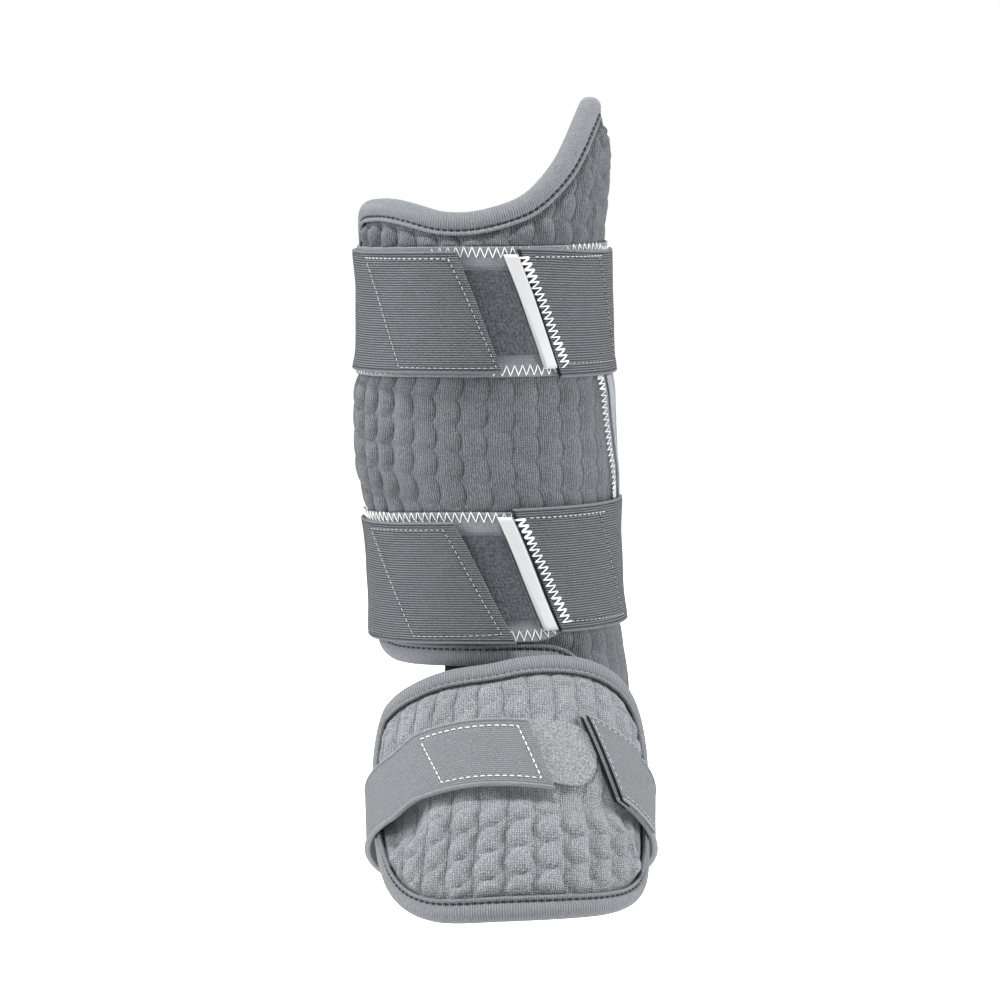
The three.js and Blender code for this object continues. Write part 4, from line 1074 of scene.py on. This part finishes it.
# black hook tape between the webbing and its fold: partly the real hook teeth, partly painted shade in the gap between
# the two layers
def hookPlace(u, v, rise):
    turn = footStrapTurn(np.zeros_like(u), v) + 0.4 + u * 5 / footScale
    return footStrapAt(turn, v, pad["strap"] + 0.05 + rise)

hookEdgeAndGapShade = ribbon("foot_hook_edge_and_gap_shade", hookPlace, withEnds(np.linspace(0, 1, 12), 5, 0.3), footStrap["width"] - 1, 0.7,
                  cloths["blackElastic"], {"across": 44, "radius": 0.3, "length": 5})
keep(hookEdgeAndGapShade, "black_elastic")

# black hook tape under the tab, out about a millimetre past its end: partly the real hook teeth, partly painted shade
# beside the end
def hookBelow(u, v, rise):
    turn = footStrapTurn(np.zeros_like(u), v) + mix(-0.85, 6, u)
    return footStrapAt(turn, v, rise - 0.36)

hookTapeAndShade = ribbon("foot_hook_tape_and_shade", hookBelow, withEnds(np.linspace(0, 1, 12), 6.6, 0.2), footStrap["width"] - 1.5,
                  0.34, cloths["blackElastic"], {"across": 44, "radius": 0.17, "length": 6.6})
keep(hookTapeAndShade, "black_elastic")

def webSurface(flat, lift):
    return footStrapAt(flat[..., 0] / footScale + 360, flat[..., 1] / footStrap["width"], lift)

def rightWebSurface(flat, lift):
    return footStrapAt(flat[..., 0] / footScale, flat[..., 1] / footStrap["width"], lift)

webStitch = {**stitches["web"], "lift": pad["strap"] + stitches["web"]["lift"]}
foldStitch = {**stitches["web"], "lift": pad["strap"] * 2 + 0.2 + stitches["web"]["lift"], "radius": 0.2}
rightRows = [[(33.5, 0.06), (60, 0.06)], [(48.5, 0.92), (76, 0.92)], [(31.9, 0.06), (47.0, 0.94)]]
runs, normals = dashes(webSurface, footPadLine * (footScale, footStrap["width"]), webStitch)
keep(threads("foot_webbing_stitches", runs, normals, webStitch["radius"], whiteThread), "foot_twill")
sew("foot_fold_stitches", "foot_twill",
    [dashes(rightWebSurface, np.array(row) * (footScale, footStrap["width"]), foldStitch) for row in rightRows],
    0.15, greyThread)

def connectorPlace(u, v, rise):
    # A smooth path through four places inside the shin guard and two inside the foot guard
    x = 2 + (v - 0.5) * 38
    lift = -pad["wall"] - 2 * pad["gap"] - 1.4 + rise
    rows = []
    for height in (-58, -72, -84, -93):
        level = height / leg["height"] + leg["originLevel"]
        across = tableCurve(leg["sections"], 2, level) * leg["halfWidth"]
        shift = tableCurve(leg["sections"], 1, level) * leg["halfWidth"]
        rows.append(legPoint(np.degrees(np.arcsin((x - shift) / (across + lift))), height, lift))
    for distance in (18, 30):
        turn = np.degrees(np.arcsin((x - foot["top"][0]) / (foot["halfWidth"] + lift)))
        rows.append(footPoint(turn, distance, lift))
    knots = np.stack(np.broadcast_arrays(*rows))
    padded = np.concatenate([2 * knots[:1] - knots[1:2], knots, 2 * knots[-1:] - knots[-2:-1]])
    at = np.clip(u * 5, 0, 4.999999) + np.zeros_like(v)
    piece = np.floor(at).astype(int)
    t = (at - piece)[..., None]
    i, j = np.indices(at.shape)
    if knots.shape[1] == 1:
        i = np.zeros_like(i)
    p0, p1, p2, p3 = (padded[piece + k, i, j] for k in range(4))
    return hermite(t, p1, p2, 0.5 * (p2 - p0), 0.5 * (p3 - p1))

connector = ribbon("connector_elastic", connectorPlace, withEnds(np.linspace(0, 1, 50), 66, 0.7), 38, 1.4,
                   cloths["blackElastic"], {"across": 30, "radius": 0.7, "length": 66})
keep(connector, "black_elastic", "connector_strap")
print("foot strap made")

# Studio and camera

studio = {
    "floorHeight": -0.24, "floor": "#f4f4f4", "ambient": 0.08, "floorGlow": 0.05,
    "lights": [  # name, place, aim, width, height, watts
        ("top", (-0.15, -0.45, 1.3), (0, -0.05, 0), 0.4, 0.3, 24),
        ("back", (0.1, 1.3, 0.9), (0, 0, 0), 0.8, 0.5, 16),
        ("left", (-1.3, -0.4, 0.4), (0, 0, 0), 0.3, 0.8, 20),
        ("right", (1.3, -0.25, 0.3), (0, 0, 0), 0.35, 1.0, 20),
        ("front", (-0.7, -2.1, 0.9), (0, 0, 0), 0.5, 0.5, 3.5),
    ],
}

floorMesh = bpy.data.meshes.new("studio_floor")
floorCorners = ((-30, -30), (30, -30), (30, 30), (-30, 30))
floorMesh.from_pydata([(x, y, studio["floorHeight"]) for x, y in floorCorners], [], [(0, 1, 2, 3)])
floorMaterial, floorTree, floorShader = startMaterial("paintedFloor", {"colour": studio["floor"], "roughness": 0.9})
floorShader.inputs["Emission Color"].default_value = (1, 1, 1, 1)
floorSeen = addNode(floorTree, "ShaderNodeLightPath").outputs["Is Camera Ray"]
floorGlow = remap(floorTree, floorSeen, 0.0, 1.0, studio["floorGlow"], 0.95)
floorTree.links.new(floorGlow, floorShader.inputs["Emission Strength"])
floorMesh.materials.append(floorMaterial)
floor = bpy.data.objects.new("studio_floor", floorMesh)
bpy.context.scene.collection.objects.link(floor)

world = bpy.data.worlds.new("studio")
bpy.context.scene.world = world
world.use_nodes = True
world.node_tree.nodes.clear()
seen = addNode(world.node_tree, "ShaderNodeLightPath").outputs["Is Camera Ray"]
strength = remap(world.node_tree, seen, 0.0, 1.0, studio["ambient"], 1.0)
backdrop = addNode(world.node_tree, "ShaderNodeBackground", {"Color": (1, 1, 1, 1), "Strength": strength})
addNode(world.node_tree, "ShaderNodeOutputWorld", {0: backdrop.outputs[0]})

def aim(thing, place, target):
    # Turned so that its -Z axis runs from its place to the target
    thing.location = place
    thing.rotation_euler = (Vector(target) - Vector(place)).to_track_quat("-Z", "Y").to_euler()

for name, place, target, width, height, watts in studio["lights"]:
    lamp = bpy.data.lights.new(f"{name}_softbox", "AREA")
    lamp.shape, lamp.size, lamp.size_y, lamp.energy = "RECTANGLE", width, height, watts
    box = bpy.data.objects.new(f"{name}_softbox", lamp)
    bpy.context.scene.collection.objects.link(box)
    aim(box, place, target)

view = {"place": (0.0064, -1.9, 0.172), "down": math.atan(460 / 4470), "focal": 4446.5}
camera = bpy.data.objects.new("photo_camera", bpy.data.cameras.new("photo_camera"))
camera.data.sensor_width = 36
camera.data.lens = view["focal"] / 1000 * camera.data.sensor_width
camera.data.clip_end = 100
camera.location = view["place"]
camera.rotation_euler = (math.pi / 2 - view["down"], 0, 0)
bpy.context.scene.collection.objects.link(camera)
bpy.context.scene.camera = camera
bpy.context.scene.view_settings.view_transform = "Standard"

print("scene ready")
